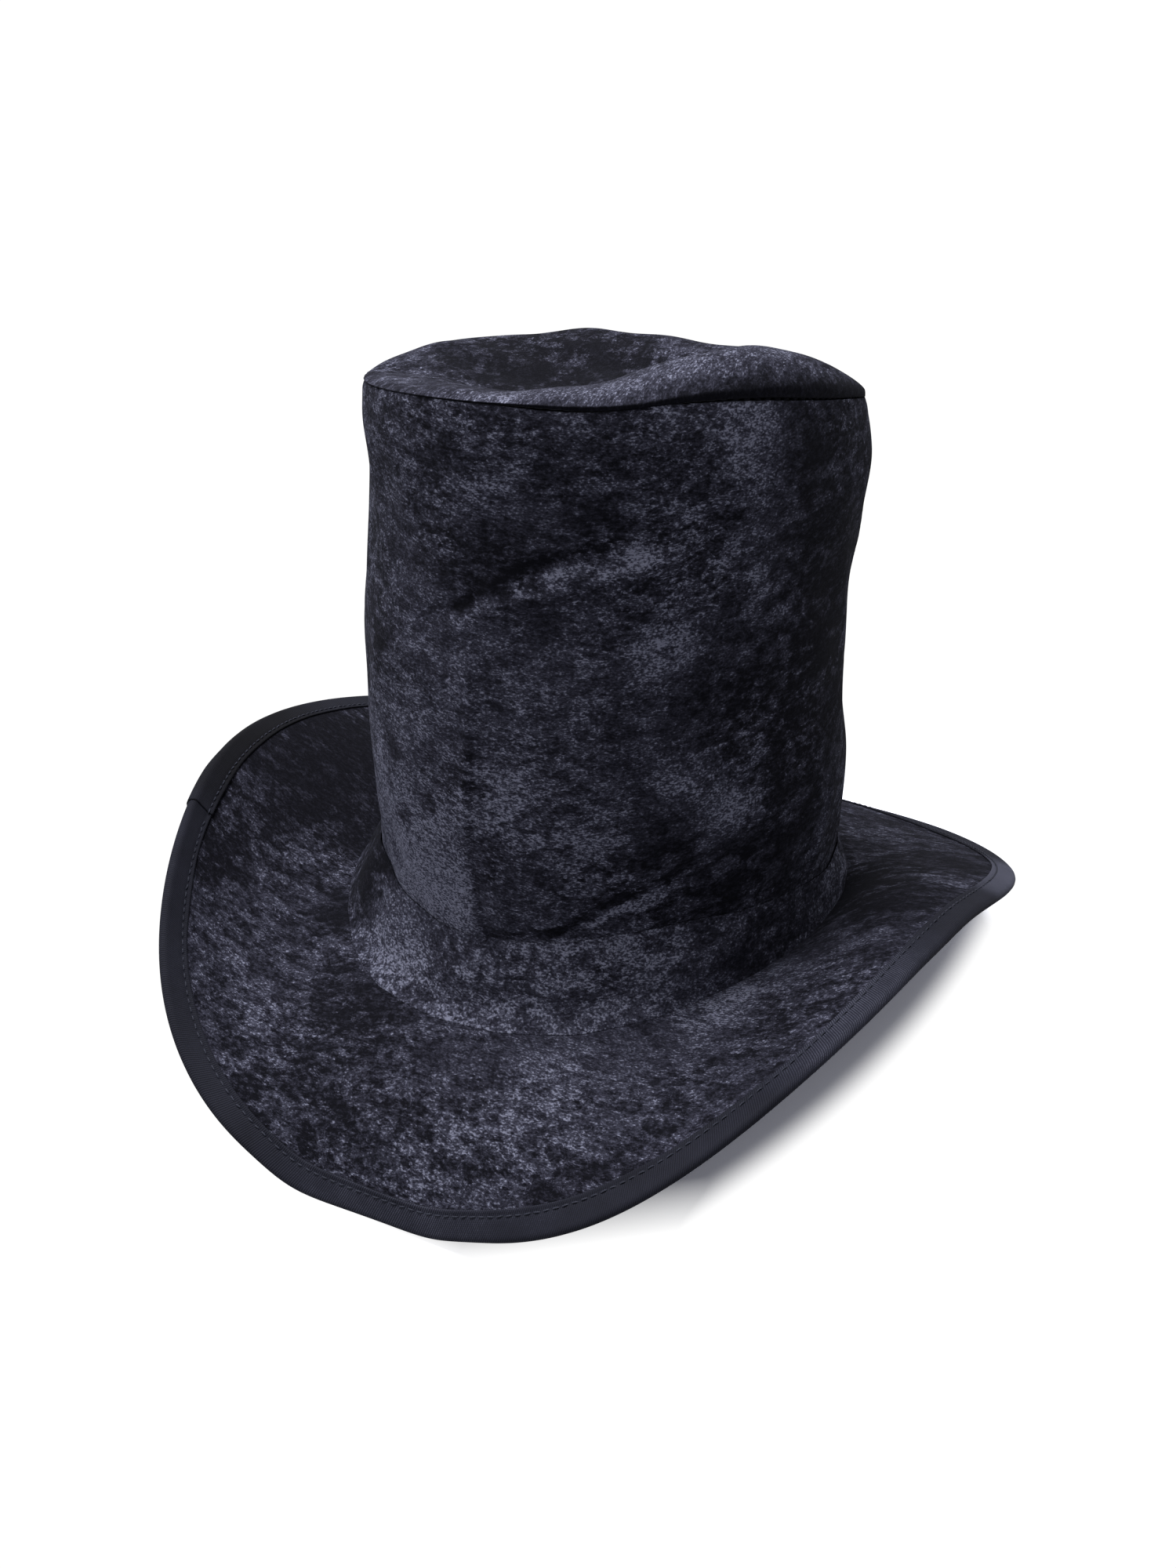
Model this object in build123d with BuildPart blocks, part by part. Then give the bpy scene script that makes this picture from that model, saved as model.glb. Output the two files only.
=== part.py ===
from build123d import *
import os
from math import sin, cos, tan, pi, radians, degrees, hypot, exp, sqrt

# Soft velvet top hat. All sizes in millimetres.
# +Z up, -Y the wearer's front, +X the wearer's left. The origin is on the
# crown's axis in the plane the hat rests on.
# "angle" runs round the oval in radians: 0 front, pi/2 wearer's left, pi back.
# Names ending in _DEG are the same angle, or a span of it, in degrees.

os.makedirs("parts", exist_ok=True)
pieces = {}

# ---- driving dimensions ----------------------------------------------------
# foot line of the hat band on the brim (semi-axes across and front to back)
FOOT_X = 96.66
FOOT_Y = 109.36
# head oval that sets which way each radial section faces
OVAL_X = 92.5
OVAL_Y = 104.65

BRIM_WIDTH = 73.5          # along the cloth, from the band's foot to the edge
BRIM_ARC_STEPS = 24        # steps that add up the curve of the brim
REST_SINK = 0.25           # the tape's outer face dips this far below the rest plane
# where the edge rests: centre and half-width of each flat, in degrees
REST_FLATS_DEG = ((-3, 11), (174, 12))

STIFF_HALF = 0.8           # half thickness of the brim's stiff core
FACE_IN = 0.85             # velvet face, inner and outer offset from mid-brim
FACE_OUT = 1.55
TAPE_IN = 1.6              # binding tape, inner and outer offset from mid-brim
TAPE_OUT = 2.1
TAPE_WIDTH = 10.1          # how far the tape reaches in from the edge
CORE_BACK = 3.2            # brim layers stop this far short of the edge

VELVET = 0.7               # crown cloth thicknesses
FOAM = 2.1
LINING = 0.35
PLY_GAP = 0.05
SEAT_GAP = 0.2             # crown layers stand this far above the brim
SEAM_GAP = 0.55            # groove of the seam round the top
WALL_DROP = 3.0            # wall heights count from this far below the band's foot

TIP_X = 84.2               # top seam oval
TIP_Y = 100.9
TIP_CENTRE = (7.1, 4.4)
TIP_Z = 246.1              # seam height at its centre
TIP_LEAN_X = 0.037         # rise per mm along X and Y
TIP_LEAN_Y = -0.126

THREAD_R = 0.2
THREAD_GAP = 0.05          # thread stands this far off the face it lies on
STITCH = 2.8
STITCH_PITCH = 4.3

# crown wall: share of its height, inset from the foot line at the sides, inset
# at front and back, and the lean of the soft wall in X and in Y
WALL = [
    (0.00, 11.3, 11.3, 5.40, 2.60),
    (0.10, 10.2, 9.8, 5.15, 2.60),
    (0.25, 8.3, 7.3, 4.80, 2.60),
    (0.40, 8.8, 7.2, 3.15, 1.90),
    (0.55, 10.0, 7.7, 2.35, 1.65),
    (0.70, 11.6, 8.8, 4.00, 2.60),
    (0.85, 11.8, 8.3, 6.90, 4.15),
    (1.00, 12.5, 8.45, 7.10, 4.40),
]


# ---- sections round the oval -----------------------------------------------
def foot(angle):
    return FOOT_X * sin(angle), -FOOT_Y * cos(angle)


def outward(angle):
    x, y = sin(angle) / OVAL_X, -cos(angle) / OVAL_Y
    return x / hypot(x, y), y / hypot(x, y)


def station(angle):
    """Upright section plane: sketch x points outward, sketch y up."""
    x, y = foot(angle)
    out_x, out_y = outward(angle)
    return Plane(origin=(x, y, 0), x_dir=(out_x, out_y, 0), z_dir=(out_y, -out_x, 0))


def world(angle, out, z):
    """Point in space from its place in the section plane."""
    x, y = foot(angle)
    out_x, out_y = outward(angle)
    return Vector(x + out_x * out, y + out_y * out, z)


def ribbon(plane, upper, lower):
    """Thin section: two curves and the straight ends that join them."""
    with BuildSketch(plane) as cut:
        with BuildLine():
            Spline(*upper)
            Line(upper[-1], lower[-1])
            Spline(*lower[::-1])
            Line(lower[0], upper[0])
        make_face()
    return cut.sketch


def open_ring(curve, depth, thick, end_deg):
    """Layer lofted once round the hat, its ends nearly meeting at the back.

    curve(angle, depth) gives the section line at depth inside the outer face.
    """
    cuts = []
    for i in range(61):
        angle = radians(-end_deg + 2 * end_deg * i / 60)
        cuts.append(ribbon(station(angle), curve(angle, depth), curve(angle, depth + thick)))
    with BuildPart() as ring:
        loft(sections=cuts)
    return ring.part


# ---- stitches --------------------------------------------------------------
def stitches(places, length=STITCH):
    with BuildPart() as thread:
        with Locations(*places):
            Cylinder(THREAD_R, length)
    return thread.part


def stitch_row(point, pitch=STITCH_PITCH, start_deg=-180.0, end_deg=180.0):
    """Places for stitches along the curve point(angle), evenly by length."""
    steps = 720
    points = [
        point(radians(start_deg + (end_deg - start_deg) * i / steps)) for i in range(steps + 1)
    ]
    run = [0.0]
    for here, after in zip(points, points[1:]):
        run.append(run[-1] + (after - here).length)
    count = int(run[-1] / pitch)
    places = []
    j = 0
    for k in range(count):
        target = (k + 0.5) * run[-1] / count
        while run[j + 1] < target:
            j += 1
        step = points[j + 1] - points[j]
        share = (target - run[j]) / (run[j + 1] - run[j])
        places.append(Plane(origin=points[j] + step * share, z_dir=step))
    return places


# ---- shape of the brim -----------------------------------------------------
def foot_z(angle):
    """Height of mid-brim at the band's foot."""
    return 35.8 + 5.45 * (1 - cos(2 * angle)) + 9.95 * cos(angle) + 2.6 * sin(angle)


def slope_in(angle):
    """Brim slope at the band's foot."""
    return radians(
        6.8 - 3.7 * cos(angle) + 7.0 * sin(angle) - 23.6 * cos(2 * angle)
        + 8.0 * sin(2 * angle) - 2.3 * cos(3 * angle) + 13.7 * cos(4 * angle)
    )


def slope_out(angle):
    """Brim slope at its edge."""
    return radians(
        -4.0 + 4.6 * cos(angle) - 17.7 * sin(angle) - 31.2 * cos(2 * angle)
        - 0.9 * sin(2 * angle) - 17.9 * cos(3 * angle) - 20.5 * cos(4 * angle)
    )


def width(angle):
    return BRIM_WIDTH + 2.9 * cos(2 * angle) - 0.55 * cos(angle) - 2.9 * sin(angle)


def raw_mid(angle, along):
    """Unsettled mid-brim, along mm out from the band's foot: out, rise, slope."""
    slope_foot = slope_in(angle)
    bend = (slope_out(angle) - slope_foot) * along / width(angle)
    out = rise = 0.0
    for i in range(BRIM_ARC_STEPS):
        slope = slope_foot + bend * (i + 0.5) / BRIM_ARC_STEPS
        out += cos(slope) * along / BRIM_ARC_STEPS
        rise += sin(slope) * along / BRIM_ARC_STEPS
    return out, rise, slope_foot + bend


def settle(angle):
    """Height change that lets the front and back of the edge rest flat."""
    rise = raw_mid(angle, width(angle) - TAPE_OUT)[1]
    low = foot_z(angle) + rise - TAPE_OUT
    weight = 0.0
    for centre, half_width in REST_FLATS_DEG:
        away = (degrees(angle) - centre + 180) % 360 - 180
        weight += exp(-((away / half_width) ** 4))
    return -(low + REST_SINK) * weight


def brim_point(angle, along, offset):
    """Section point (out, up), along mm out and offset mm above mid-brim."""
    out, rise, slope = raw_mid(angle, along)
    rise += settle(angle) * (along / width(angle)) ** 2
    return out - offset * sin(slope), foot_z(angle) + rise + offset * cos(slope)


def brim_line_z(angle, out, offset):
    """Height of the brim's straight part inside the band's foot (out <= 0)."""
    slope = slope_in(angle)
    return foot_z(angle) + out * tan(slope) + offset / cos(slope)


# ---- shape of the crown wall -----------------------------------------------
def wall_out(angle, share):
    """Crown's outer face from the foot line, at a share of the wall's height."""
    share = min(max(share, 0.0), 1.0)
    for lower, upper in zip(WALL, WALL[1:]):
        if share <= upper[0]:
            break
    blend = (share - lower[0]) / (upper[0] - lower[0])
    side, end, lean_x, lean_y = [
        low + (high - low) * blend for low, high in zip(lower[1:], upper[1:])
    ]
    out_x, out_y = outward(angle)
    inset = side * sin(angle) ** 2 + end * cos(angle) ** 2
    return -inset + lean_x * out_x + lean_y * out_y


def seam_z(angle):
    return TIP_Z + TIP_LEAN_X * TIP_X * sin(angle) - TIP_LEAN_Y * TIP_Y * cos(angle)


def wall_z(angle, share):
    base = foot_z(angle) - WALL_DROP
    return base + (seam_z(angle) - base) * share


def wall_share(angle, z):
    base = foot_z(angle) - WALL_DROP
    return (z - base) / (seam_z(angle) - base)


def opening_out(angle):
    """Inner edge of the brim, flush with the crown lining's inner face."""
    return wall_out(angle, 0) - VELVET - FOAM - LINING - 2 * PLY_GAP


# ---- brim layers -----------------------------------------------------------
BRIM_SHARES = (0.0, 0.12, 0.26, 0.42, 0.58, 0.74, 0.88, 1.0)


def brim_curve(angle, offset):
    inner = opening_out(angle)
    points = [(out, brim_line_z(angle, out, offset)) for out in (inner, inner / 2)]
    for share in BRIM_SHARES:
        points.append(brim_point(angle, share * (width(angle) - CORE_BACK), offset))
    return points


def brim_layer(low, high):
    """One ply of the brim, lofted as a left and a right half."""
    with BuildPart() as layer:
        for half in (0, 1):
            cuts = []
            for i in range(31):
                angle = pi * (half + i / 30)
                cuts.append(
                    ribbon(station(angle), brim_curve(angle, high), brim_curve(angle, low))
                )
            loft(sections=cuts)
    return layer.part


pieces["brim_stiffener"] = brim_layer(-STIFF_HALF, STIFF_HALF)
pieces["brim_top_velvet"] = brim_layer(FACE_IN, FACE_OUT)
pieces["brim_under_velvet"] = brim_layer(-FACE_OUT, -FACE_IN)


# ---- edge wire -------------------------------------------------------------
# springy wire in the fold of the edge, its ends meeting in a sleeve at the back
WIRE_R = 0.7
WIRE_END_DEG = 179.3
SLEEVE_R = 1.25
SLEEVE_BORE_R = 0.95
SLEEVE_LENGTH = 14.0
SLEEVE_REACH_DEG = 2.6     # wire points this far each side of the back set the sleeve's axis


def wire_centre(angle):
    return world(angle, *brim_point(angle, width(angle) - TAPE_OUT, 0))


def edge_wire():
    ends = radians(WIRE_END_DEG)
    with BuildPart() as wire:
        with BuildLine() as path:
            Spline(*[wire_centre(-ends + 2 * ends * i / 96) for i in range(97)])
        with BuildSketch(Plane(origin=path.line @ 0, z_dir=path.line % 0)):
            Circle(WIRE_R)
        sweep(path=path.line)
    return wire.part


def wire_sleeve():
    reach = radians(SLEEVE_REACH_DEG)
    left = wire_centre(pi - reach)
    right = wire_centre(pi + reach)
    middle = (wire_centre(pi) * 2 + right + left) / 4
    with BuildPart() as sleeve:
        with BuildSketch(Plane(origin=middle, z_dir=right - left)):
            Circle(SLEEVE_R)
            Circle(SLEEVE_BORE_R, mode=Mode.SUBTRACT)
        extrude(amount=SLEEVE_LENGTH / 2, both=True)
    return sleeve.part


pieces["brim_edge_wire"] = edge_wire()
pieces["wire_joiner"] = wire_sleeve()


# ---- binding tape ----------------------------------------------------------
# tape folded over the edge; one end laps over the other
JOIN_DEG = -66.0           # where the tape starts
LAP_DEG = 4.6              # length of the overlap
LAP_RISE = 0.6             # the upper end rides this far out
RAMP_START_DEG = 352       # past the join, where the tape begins to rise
RAMP_DEG = 6.0
PLAIN_DEG = 350            # past the join, where the sections grow closer
TAPE_STITCH_IN = 2.0       # stitches from the tape's inner edges


def lap_rise(past_join_deg):
    """Eased rise of the tape towards its upper end."""
    ease = min(max((past_join_deg - RAMP_START_DEG) / RAMP_DEG, 0), 1)
    return LAP_RISE * ease * ease * (3 - 2 * ease)


def tape_path(angle, offset):
    """Path round the edge at offset from mid-brim, upper face to under face."""
    edge = width(angle)
    reach = TAPE_WIDTH - TAPE_OUT
    stops = [edge - TAPE_WIDTH + reach * share for share in (0, 0.34, 0.67, 1)]
    fold_out, fold_z = brim_point(angle, edge - TAPE_OUT, 0)
    slope = raw_mid(angle, edge - TAPE_OUT)[2]
    path = [brim_point(angle, along, offset) for along in stops]
    for turn in (pi / 4, 0, -pi / 4):
        path.append(
            (fold_out + offset * cos(slope + turn), fold_z + offset * sin(slope + turn))
        )
    path += [brim_point(angle, along, -offset) for along in stops[::-1]]
    return path


def binding():
    turns = [PLAIN_DEG * i / 54 for i in range(55)]
    turns += [PLAIN_DEG + (360 - PLAIN_DEG + LAP_DEG) * i / 8 for i in range(1, 9)]
    cuts = []
    for past_join in turns:
        angle = radians(JOIN_DEG + past_join)
        rise = lap_rise(past_join)
        cuts.append(
            ribbon(
                station(angle),
                tape_path(angle, TAPE_OUT + rise),
                tape_path(angle, TAPE_IN + rise),
            )
        )
    with BuildPart() as tape:
        loft(sections=cuts)
        # the tape is pressed flat where the hat stands on it
        with Locations((0, 0, -5)):
            Box(500, 500, 10, mode=Mode.SUBTRACT)
    return tape.part


def binding_stitches(side):
    """Stitches on the tape's upper (side 1) or under (side -1) face."""

    def point(angle):
        past_join = (degrees(angle) - JOIN_DEG) % 360
        # the row ends on top of the overlap
        rise = LAP_RISE if past_join <= LAP_DEG + 0.8 else lap_rise(past_join)
        offset = TAPE_OUT + THREAD_R + THREAD_GAP + rise
        along = width(angle) - TAPE_WIDTH + TAPE_STITCH_IN
        return world(angle, *brim_point(angle, along, side * offset))

    return stitches(stitch_row(point, start_deg=JOIN_DEG + 6, end_deg=JOIN_DEG + 365))


pieces["brim_binding"] = binding()
pieces["binding_stitches_top"] = binding_stitches(1)
pieces["binding_stitches_under"] = binding_stitches(-1)


# ---- crown wall ------------------------------------------------------------
BACK_STITCHES = 44


def wall_curve(angle, depth):
    out = wall_out(angle, 0) - depth
    points = [(out, brim_line_z(angle, out, FACE_OUT) + SEAT_GAP)]
    for share, *_ in WALL[1:]:
        z = wall_z(angle, share)
        if share == 1.0:
            z -= SEAM_GAP / 2
        points.append((wall_out(angle, share) - depth, z))
    return points


def back_seam_stitches():
    """Thread in the groove of the back seam."""

    def point(share):
        return world(pi, wall_out(pi, share) - VELVET / 2, wall_z(pi, share))

    places = []
    for i in range(BACK_STITCHES):
        share = 0.05 + 0.93 * i / (BACK_STITCHES - 1)
        start = point(share)
        places.append(Plane(origin=start, z_dir=point(share + 0.01) - start))
    return stitches(places)


pieces["crown_side_velvet"] = open_ring(wall_curve, 0, VELVET, 179.8)
pieces["crown_side_foam"] = open_ring(wall_curve, VELVET + PLY_GAP, FOAM, 179.85)
pieces["crown_side_lining"] = open_ring(wall_curve, VELVET + FOAM + 2 * PLY_GAP, LINING, 179.85)
pieces["crown_back_seam_thread"] = back_seam_stitches()


# ---- crown top -------------------------------------------------------------
# dished oval, drawn round with a mean radius and then stretched to the oval;
# outer face as radius and height above the seam, from rim to centre
TIP_RISE = [
    (92.5, 0.0),
    (92.4, 3.4),
    (91.2, 7.2),
    (88.2, 9.9),
    (83.4, 10.7),
    (76.5, 9.3),
    (65.0, 5.8),
    (48.0, 2.2),
    (26.0, 0.2),
    (0.0, -0.5),
]
TIP_MEAN = TIP_RISE[0][0]
TIP_PLACE = Plane(
    origin=(*TIP_CENTRE, TIP_Z),
    x_dir=(1, 0, TIP_LEAN_X),
    z_dir=(-TIP_LEAN_X, -TIP_LEAN_Y, 1),
).location
GROOVE_DEPTH = 0.5         # seam thread's centre inside the wall's outer face


def tip_curve(depth):
    """Outer curve moved in by depth, upright at the rim and level at the centre."""
    points = []
    last = len(TIP_RISE) - 1
    for i, (radius, z) in enumerate(TIP_RISE):
        if i == 0:
            along_r, along_z = 0.0, 1.0
        elif i == last:
            along_r, along_z = -1.0, 0.0
        else:
            along_r = TIP_RISE[i + 1][0] - TIP_RISE[i - 1][0]
            along_z = TIP_RISE[i + 1][1] - TIP_RISE[i - 1][1]
        size = hypot(along_r, along_z)
        points.append(
            (radius - depth * along_z / size, z + depth * along_r / size + SEAM_GAP / 2)
        )
    return points


def tip_layer(depth, thick):
    with BuildPart() as layer:
        profile = ribbon(Plane.XZ, tip_curve(depth), tip_curve(depth + thick))
        revolve(profiles=profile, axis=Axis.Z)
        scale(by=(TIP_X / TIP_MEAN, TIP_Y / TIP_MEAN * sqrt(1 + TIP_LEAN_Y**2), 1))
    layer.part.locate(TIP_PLACE)
    return layer.part


def groove(angle):
    """Line of the groove between the wall and the top."""
    return world(angle, wall_out(angle, 1) - GROOVE_DEPTH, seam_z(angle))


pieces["crown_tip_velvet"] = tip_layer(0, VELVET)
pieces["crown_tip_foam"] = tip_layer(VELVET + 2 * PLY_GAP, FOAM)
pieces["crown_tip_lining"] = tip_layer(VELVET + FOAM + 4 * PLY_GAP, LINING)
pieces["crown_tip_seam_thread"] = stitches(stitch_row(groove))


# ---- hat band --------------------------------------------------------------
BAND_THICK = 1.2
BAND_BOW = 1.1             # outward bulge at mid height
BAND_END_DEG = 179.7       # also where the sweatband ends
TACK_PITCH = 12.5


def band_height(angle):
    return 24 + 6 * cos(angle + radians(40))


def band_curve(angle, depth):
    bottom = brim_line_z(angle, 0, FACE_OUT) + SEAT_GAP
    top = foot_z(angle) + band_height(angle)
    top_out = wall_out(angle, wall_share(angle, top)) + SEAT_GAP + BAND_THICK
    points = []
    for share in (0, 0.25, 0.5, 0.75, 1.0):
        out = top_out * share ** 1.15 + BAND_BOW * sin(pi * share) - depth
        points.append((out, bottom + (top - bottom) * share))
    return points


def band_foot(angle):
    """Line of the slip stitches behind the band's lower edge."""
    out = -BAND_THICK - THREAD_R - 0.15
    thread_rise = THREAD_R / cos(slope_in(angle)) + 0.1
    return world(angle, out, brim_line_z(angle, out, FACE_OUT) + thread_rise)


pieces["hat_band"] = open_ring(band_curve, 0, BAND_THICK, BAND_END_DEG)
pieces["band_tack_thread"] = stitches(stitch_row(band_foot, TACK_PITCH))


# ---- head opening ----------------------------------------------------------
SWEAT_THICK = 0.9
SWEAT_HEIGHT = 32.0
SWEAT_GAP = 0.75           # between the brim's inner edge and the sweatband
SWEAT_DROP = 0.5           # sweatband's foot below the brim's under face
SWEAT_STITCH_UP = 4.0      # stitches above the sweatband's foot
WHIP_COUNT = 94
WHIP_LENGTH = 6.0
WHIP_RISE = 1.0            # whip stitch's centre above mid-brim


def sweat_base(angle):
    return brim_line_z(angle, opening_out(angle), -FACE_OUT) - SWEAT_DROP


def sweat_curve(angle, depth):
    out = opening_out(angle) - SWEAT_GAP - depth
    base = sweat_base(angle)
    return [(out, base + SWEAT_HEIGHT * share) for share in (0, 0.34, 0.67, 1.0)]


def sweat_row(angle):
    out = opening_out(angle) - SWEAT_GAP - SWEAT_THICK - THREAD_R - THREAD_GAP
    return world(angle, out, sweat_base(angle) + SWEAT_STITCH_UP)


def whip_stitches():
    """Upright stitches between the brim's inner edge and the sweatband."""
    places = []
    for i in range(WHIP_COUNT):
        angle = 2 * pi * (i + 0.5) / WHIP_COUNT
        inner = opening_out(angle)
        z = brim_line_z(angle, inner, 0) + WHIP_RISE
        places.append(Location(world(angle, inner - SWEAT_GAP / 2, z)))
    return stitches(places, WHIP_LENGTH)


pieces["sweatband"] = open_ring(sweat_curve, 0, SWEAT_THICK, BAND_END_DEG)
pieces["sweatband_stitches"] = stitches(stitch_row(sweat_row))
pieces["crown_brim_seam_thread"] = whip_stitches()


# ---- export ----------------------------------------------------------------
for name, piece in pieces.items():
    piece.label = name
    export_step(piece, f"parts/{name}.step")
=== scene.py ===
# A soft crushed-velvet hat: padded crown, cloth band, and a wired brim bound with tape.
# It stands on the floor, z = 0, with its front towards -Y and the wearer's left towards +X.
# Shapes are worked out in mm and scaled to metres as each mesh is made. A place on the hat is
# given by "turn", the angle round it in radians: 0 at the front, +90 degrees at the wearer's
# left. "out" is mm straight outward of the oval at the crown's foot, negative inside it.
import math

import bmesh
import bpy
import numpy as np
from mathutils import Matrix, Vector


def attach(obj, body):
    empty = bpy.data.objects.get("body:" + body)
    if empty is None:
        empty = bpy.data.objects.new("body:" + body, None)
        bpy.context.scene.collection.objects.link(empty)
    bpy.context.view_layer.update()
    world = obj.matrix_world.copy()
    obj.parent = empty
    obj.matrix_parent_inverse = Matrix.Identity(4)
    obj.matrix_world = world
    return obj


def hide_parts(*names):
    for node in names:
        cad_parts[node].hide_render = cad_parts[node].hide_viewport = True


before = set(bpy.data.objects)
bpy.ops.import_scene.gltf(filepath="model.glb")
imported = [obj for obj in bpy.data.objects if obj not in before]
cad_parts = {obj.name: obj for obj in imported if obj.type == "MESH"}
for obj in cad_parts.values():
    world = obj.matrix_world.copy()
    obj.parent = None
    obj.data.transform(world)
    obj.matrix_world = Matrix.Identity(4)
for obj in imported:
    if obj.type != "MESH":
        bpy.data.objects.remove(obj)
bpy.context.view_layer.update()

DEG = math.pi / 180
MM = 0.001

# ------------------------------------------------------------------ driving sizes (mm)
FOOT_X, FOOT_Y = 96.66, 109.36          # half axes of the oval where brim meets crown
OVAL_X, OVAL_Y = 92.5, 104.65           # half axes that set the outward direction
TAPE_WIDTH, TAPE_OUT, TAPE_IN = 10.1, 2.1, 1.6
TAPE_JOIN = -66.0                       # degrees
BRIM_FACE, BRIM_BACK, CORE_FACE = 1.55, 0.85, 0.8   # offsets from the brim's middle surface
CROWN_WALL_DEPTH = 3.25                 # from the velvet's face to the head opening
CROWN_DROP = 3.0                        # the wall's zero height below the brim's foot
CLOTH_THICK, FOAM_THICK, LINING_THICK = 0.7, 2.0, 0.35
SEAM_RISE = 0.15

# Plane of the seam round the crown's top: half axes, height, slopes along x and y
SEAM_X, SEAM_Y, SEAM_Z, SEAM_SLOPE_X, SEAM_SLOPE_Y = 84.2, 100.9, 246.1, 0.037, -0.126
TOP_CENTRE_X, TOP_CENTRE_Y = 6.28, 3.98


# ------------------------------------------------------------------ shared curves
def wrap(degrees):
    return (degrees + 180) % 360 - 180


def ease(share):
    """Smooth step; takes numbers and shader values."""
    return share * share * (3.0 - share * 2.0)


def bell(value, centre, spread, power=2):
    return np.exp(-((value - centre) / spread) ** power)


def hermite(share, start, end, start_slope, end_slope):
    return ((2 * share**3 - 3 * share**2 + 1) * start + (share**3 - 2 * share**2 + share) * start_slope
            + (-2 * share**3 + 3 * share**2) * end + (share**3 - share**2) * end_slope)


def ring_table(turn, table):
    """Smooth periodic values from (degrees, value...) rows."""
    rows = np.array(table, float)
    stops = np.concatenate([rows[:, 0] - 360, rows[:, 0], rows[:, 0] + 360])
    columns = np.concatenate([rows[:, 1:]] * 3).T
    degrees = wrap(np.asarray(turn) / DEG)
    i = np.clip(np.searchsorted(stops, degrees, side="right") - 1, 1, len(stops) - 3)
    step = stops[i + 1] - stops[i]
    share = (degrees - stops[i]) / step
    return [hermite(share, col[i], col[i + 1],
                    (col[i + 1] - col[i - 1]) / (stops[i + 1] - stops[i - 1]) * step,
                    (col[i + 2] - col[i]) / (stops[i + 2] - stops[i]) * step)
            for col in columns]


def line_table(value, table):
    """Smooth values from (stop, value...) rows, held at both ends."""
    stops, *columns = np.array(table, float).T
    value = np.clip(value, stops[0], stops[-1])
    i = np.clip(np.searchsorted(stops, value, side="right") - 1, 0, len(stops) - 2)
    step = stops[i + 1] - stops[i]
    share = (value - stops[i]) / step
    result = []
    for col in columns:
        slope = np.gradient(col, stops)
        result.append(hermite(share, col[i], col[i + 1], slope[i] * step, slope[i + 1] * step))
    return result


def waves(turn, across, seed, turn_range, across_range, count, fall):
    """Smooth periodic cloth unevenness, about -1 to 1.

    The ranges are the wave counts drawn from; fall is how fast finer waves weaken.
    """
    rng = np.random.default_rng(seed)
    total, power = 0, 0
    for _ in range(count):
        turns = rng.integers(turn_range[0], turn_range[1] + 1)
        cross = rng.uniform(*across_range) * rng.choice([-1, 1])
        size = 1.0 / (turns + abs(cross)) ** fall
        phase = rng.uniform(0, 2 * math.pi)
        total = total + size * np.sin(turns * turn + cross * across + phase)
        power += size * size
    return total / math.sqrt(power)


def ripple(turn, seed, turn_range, count, fall):
    """Waves that run round the hat only."""
    return waves(turn, 0, seed, turn_range, (0, 0.1), count, fall)


def outward(turn):
    x, y = np.sin(turn) / OVAL_X, -np.cos(turn) / OVAL_Y
    length = np.hypot(x, y)
    return x / length, y / length


def outward_vector(turn):
    return np.stack([*outward(turn), 0 * turn], -1)


def place(turn, out, z):
    x, y = outward(turn)
    return np.stack(np.broadcast_arrays(FOOT_X * np.sin(turn) + x * out,
                                        -FOOT_Y * np.cos(turn) + y * out, z), -1)


# ------------------------------------------------------------------ brim surface
def foot_z(turn):
    return 35.8 + 5.45 * (1 - np.cos(2 * turn)) + 9.95 * np.cos(turn) + 2.6 * np.sin(turn)


def slope_in(turn):
    """Slope of the brim at its foot."""
    return DEG * (6.8 - 3.7 * np.cos(turn) + 7.0 * np.sin(turn) - 23.6 * np.cos(2 * turn)
                  + 8.0 * np.sin(2 * turn) - 2.3 * np.cos(3 * turn) + 13.7 * np.cos(4 * turn))


def slope_out(turn):
    """Slope of the brim at its edge."""
    return DEG * (-4.0 + 4.6 * np.cos(turn) - 17.7 * np.sin(turn) - 31.2 * np.cos(2 * turn)
                  - 0.9 * np.sin(2 * turn) - 17.9 * np.cos(3 * turn) - 20.5 * np.cos(4 * turn))


def width(turn):
    return 73.5 + 2.9 * np.cos(2 * turn) - 0.55 * np.cos(turn) - 2.9 * np.sin(turn)


def edge_dist(turn):
    """Distance along the brim to the wire's middle."""
    return width(turn) - TAPE_OUT


def brim_arc(turn, dist):
    """Arc outward from the foot, straight inward of it: out, rise, slope."""
    slope = slope_in(turn)
    arc = np.maximum(dist, 0)
    half = (slope_out(turn) - slope) / width(turn) * arc / 2
    chord = arc * np.sinc(half / np.pi)
    out = np.where(dist > 0, chord * np.cos(slope + half), dist * np.cos(slope))
    rise = np.where(dist > 0, chord * np.sin(slope + half), dist * np.sin(slope))
    return out, rise, np.where(dist > 0, slope + 2 * half, slope)


def settle(turn):
    """Shift that brings the edge down to the floor at the front and the back."""
    low = foot_z(turn) + brim_arc(turn, edge_dist(turn))[1] - TAPE_OUT
    degrees = turn / DEG
    return -(low + 0.25) * (bell(wrap(degrees + 3), 0, 11, 4) + bell(wrap(degrees - 174), 0, 12, 4))


# Departures of the edge from the smooth curl: degrees, outward mm, up mm
EDGE = [(-180, 0, 0), (-120, 0, 0.1), (-63, 0.3, 0.3), (-40, 0.2, -0.1), (-20, 0, 0.2),
        (0, 0, -0.1), (22, 0.25, -0.7), (38, 0.4, 0.2), (57, 1.7, -0.3), (70, 0.2, 0.1),
        (84, -1.5, 1.1), (104, 0.2, 0.1), (120, -0.5, -0.5), (144, 0.1, 0.4), (165, 0, -0.2)]


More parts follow.
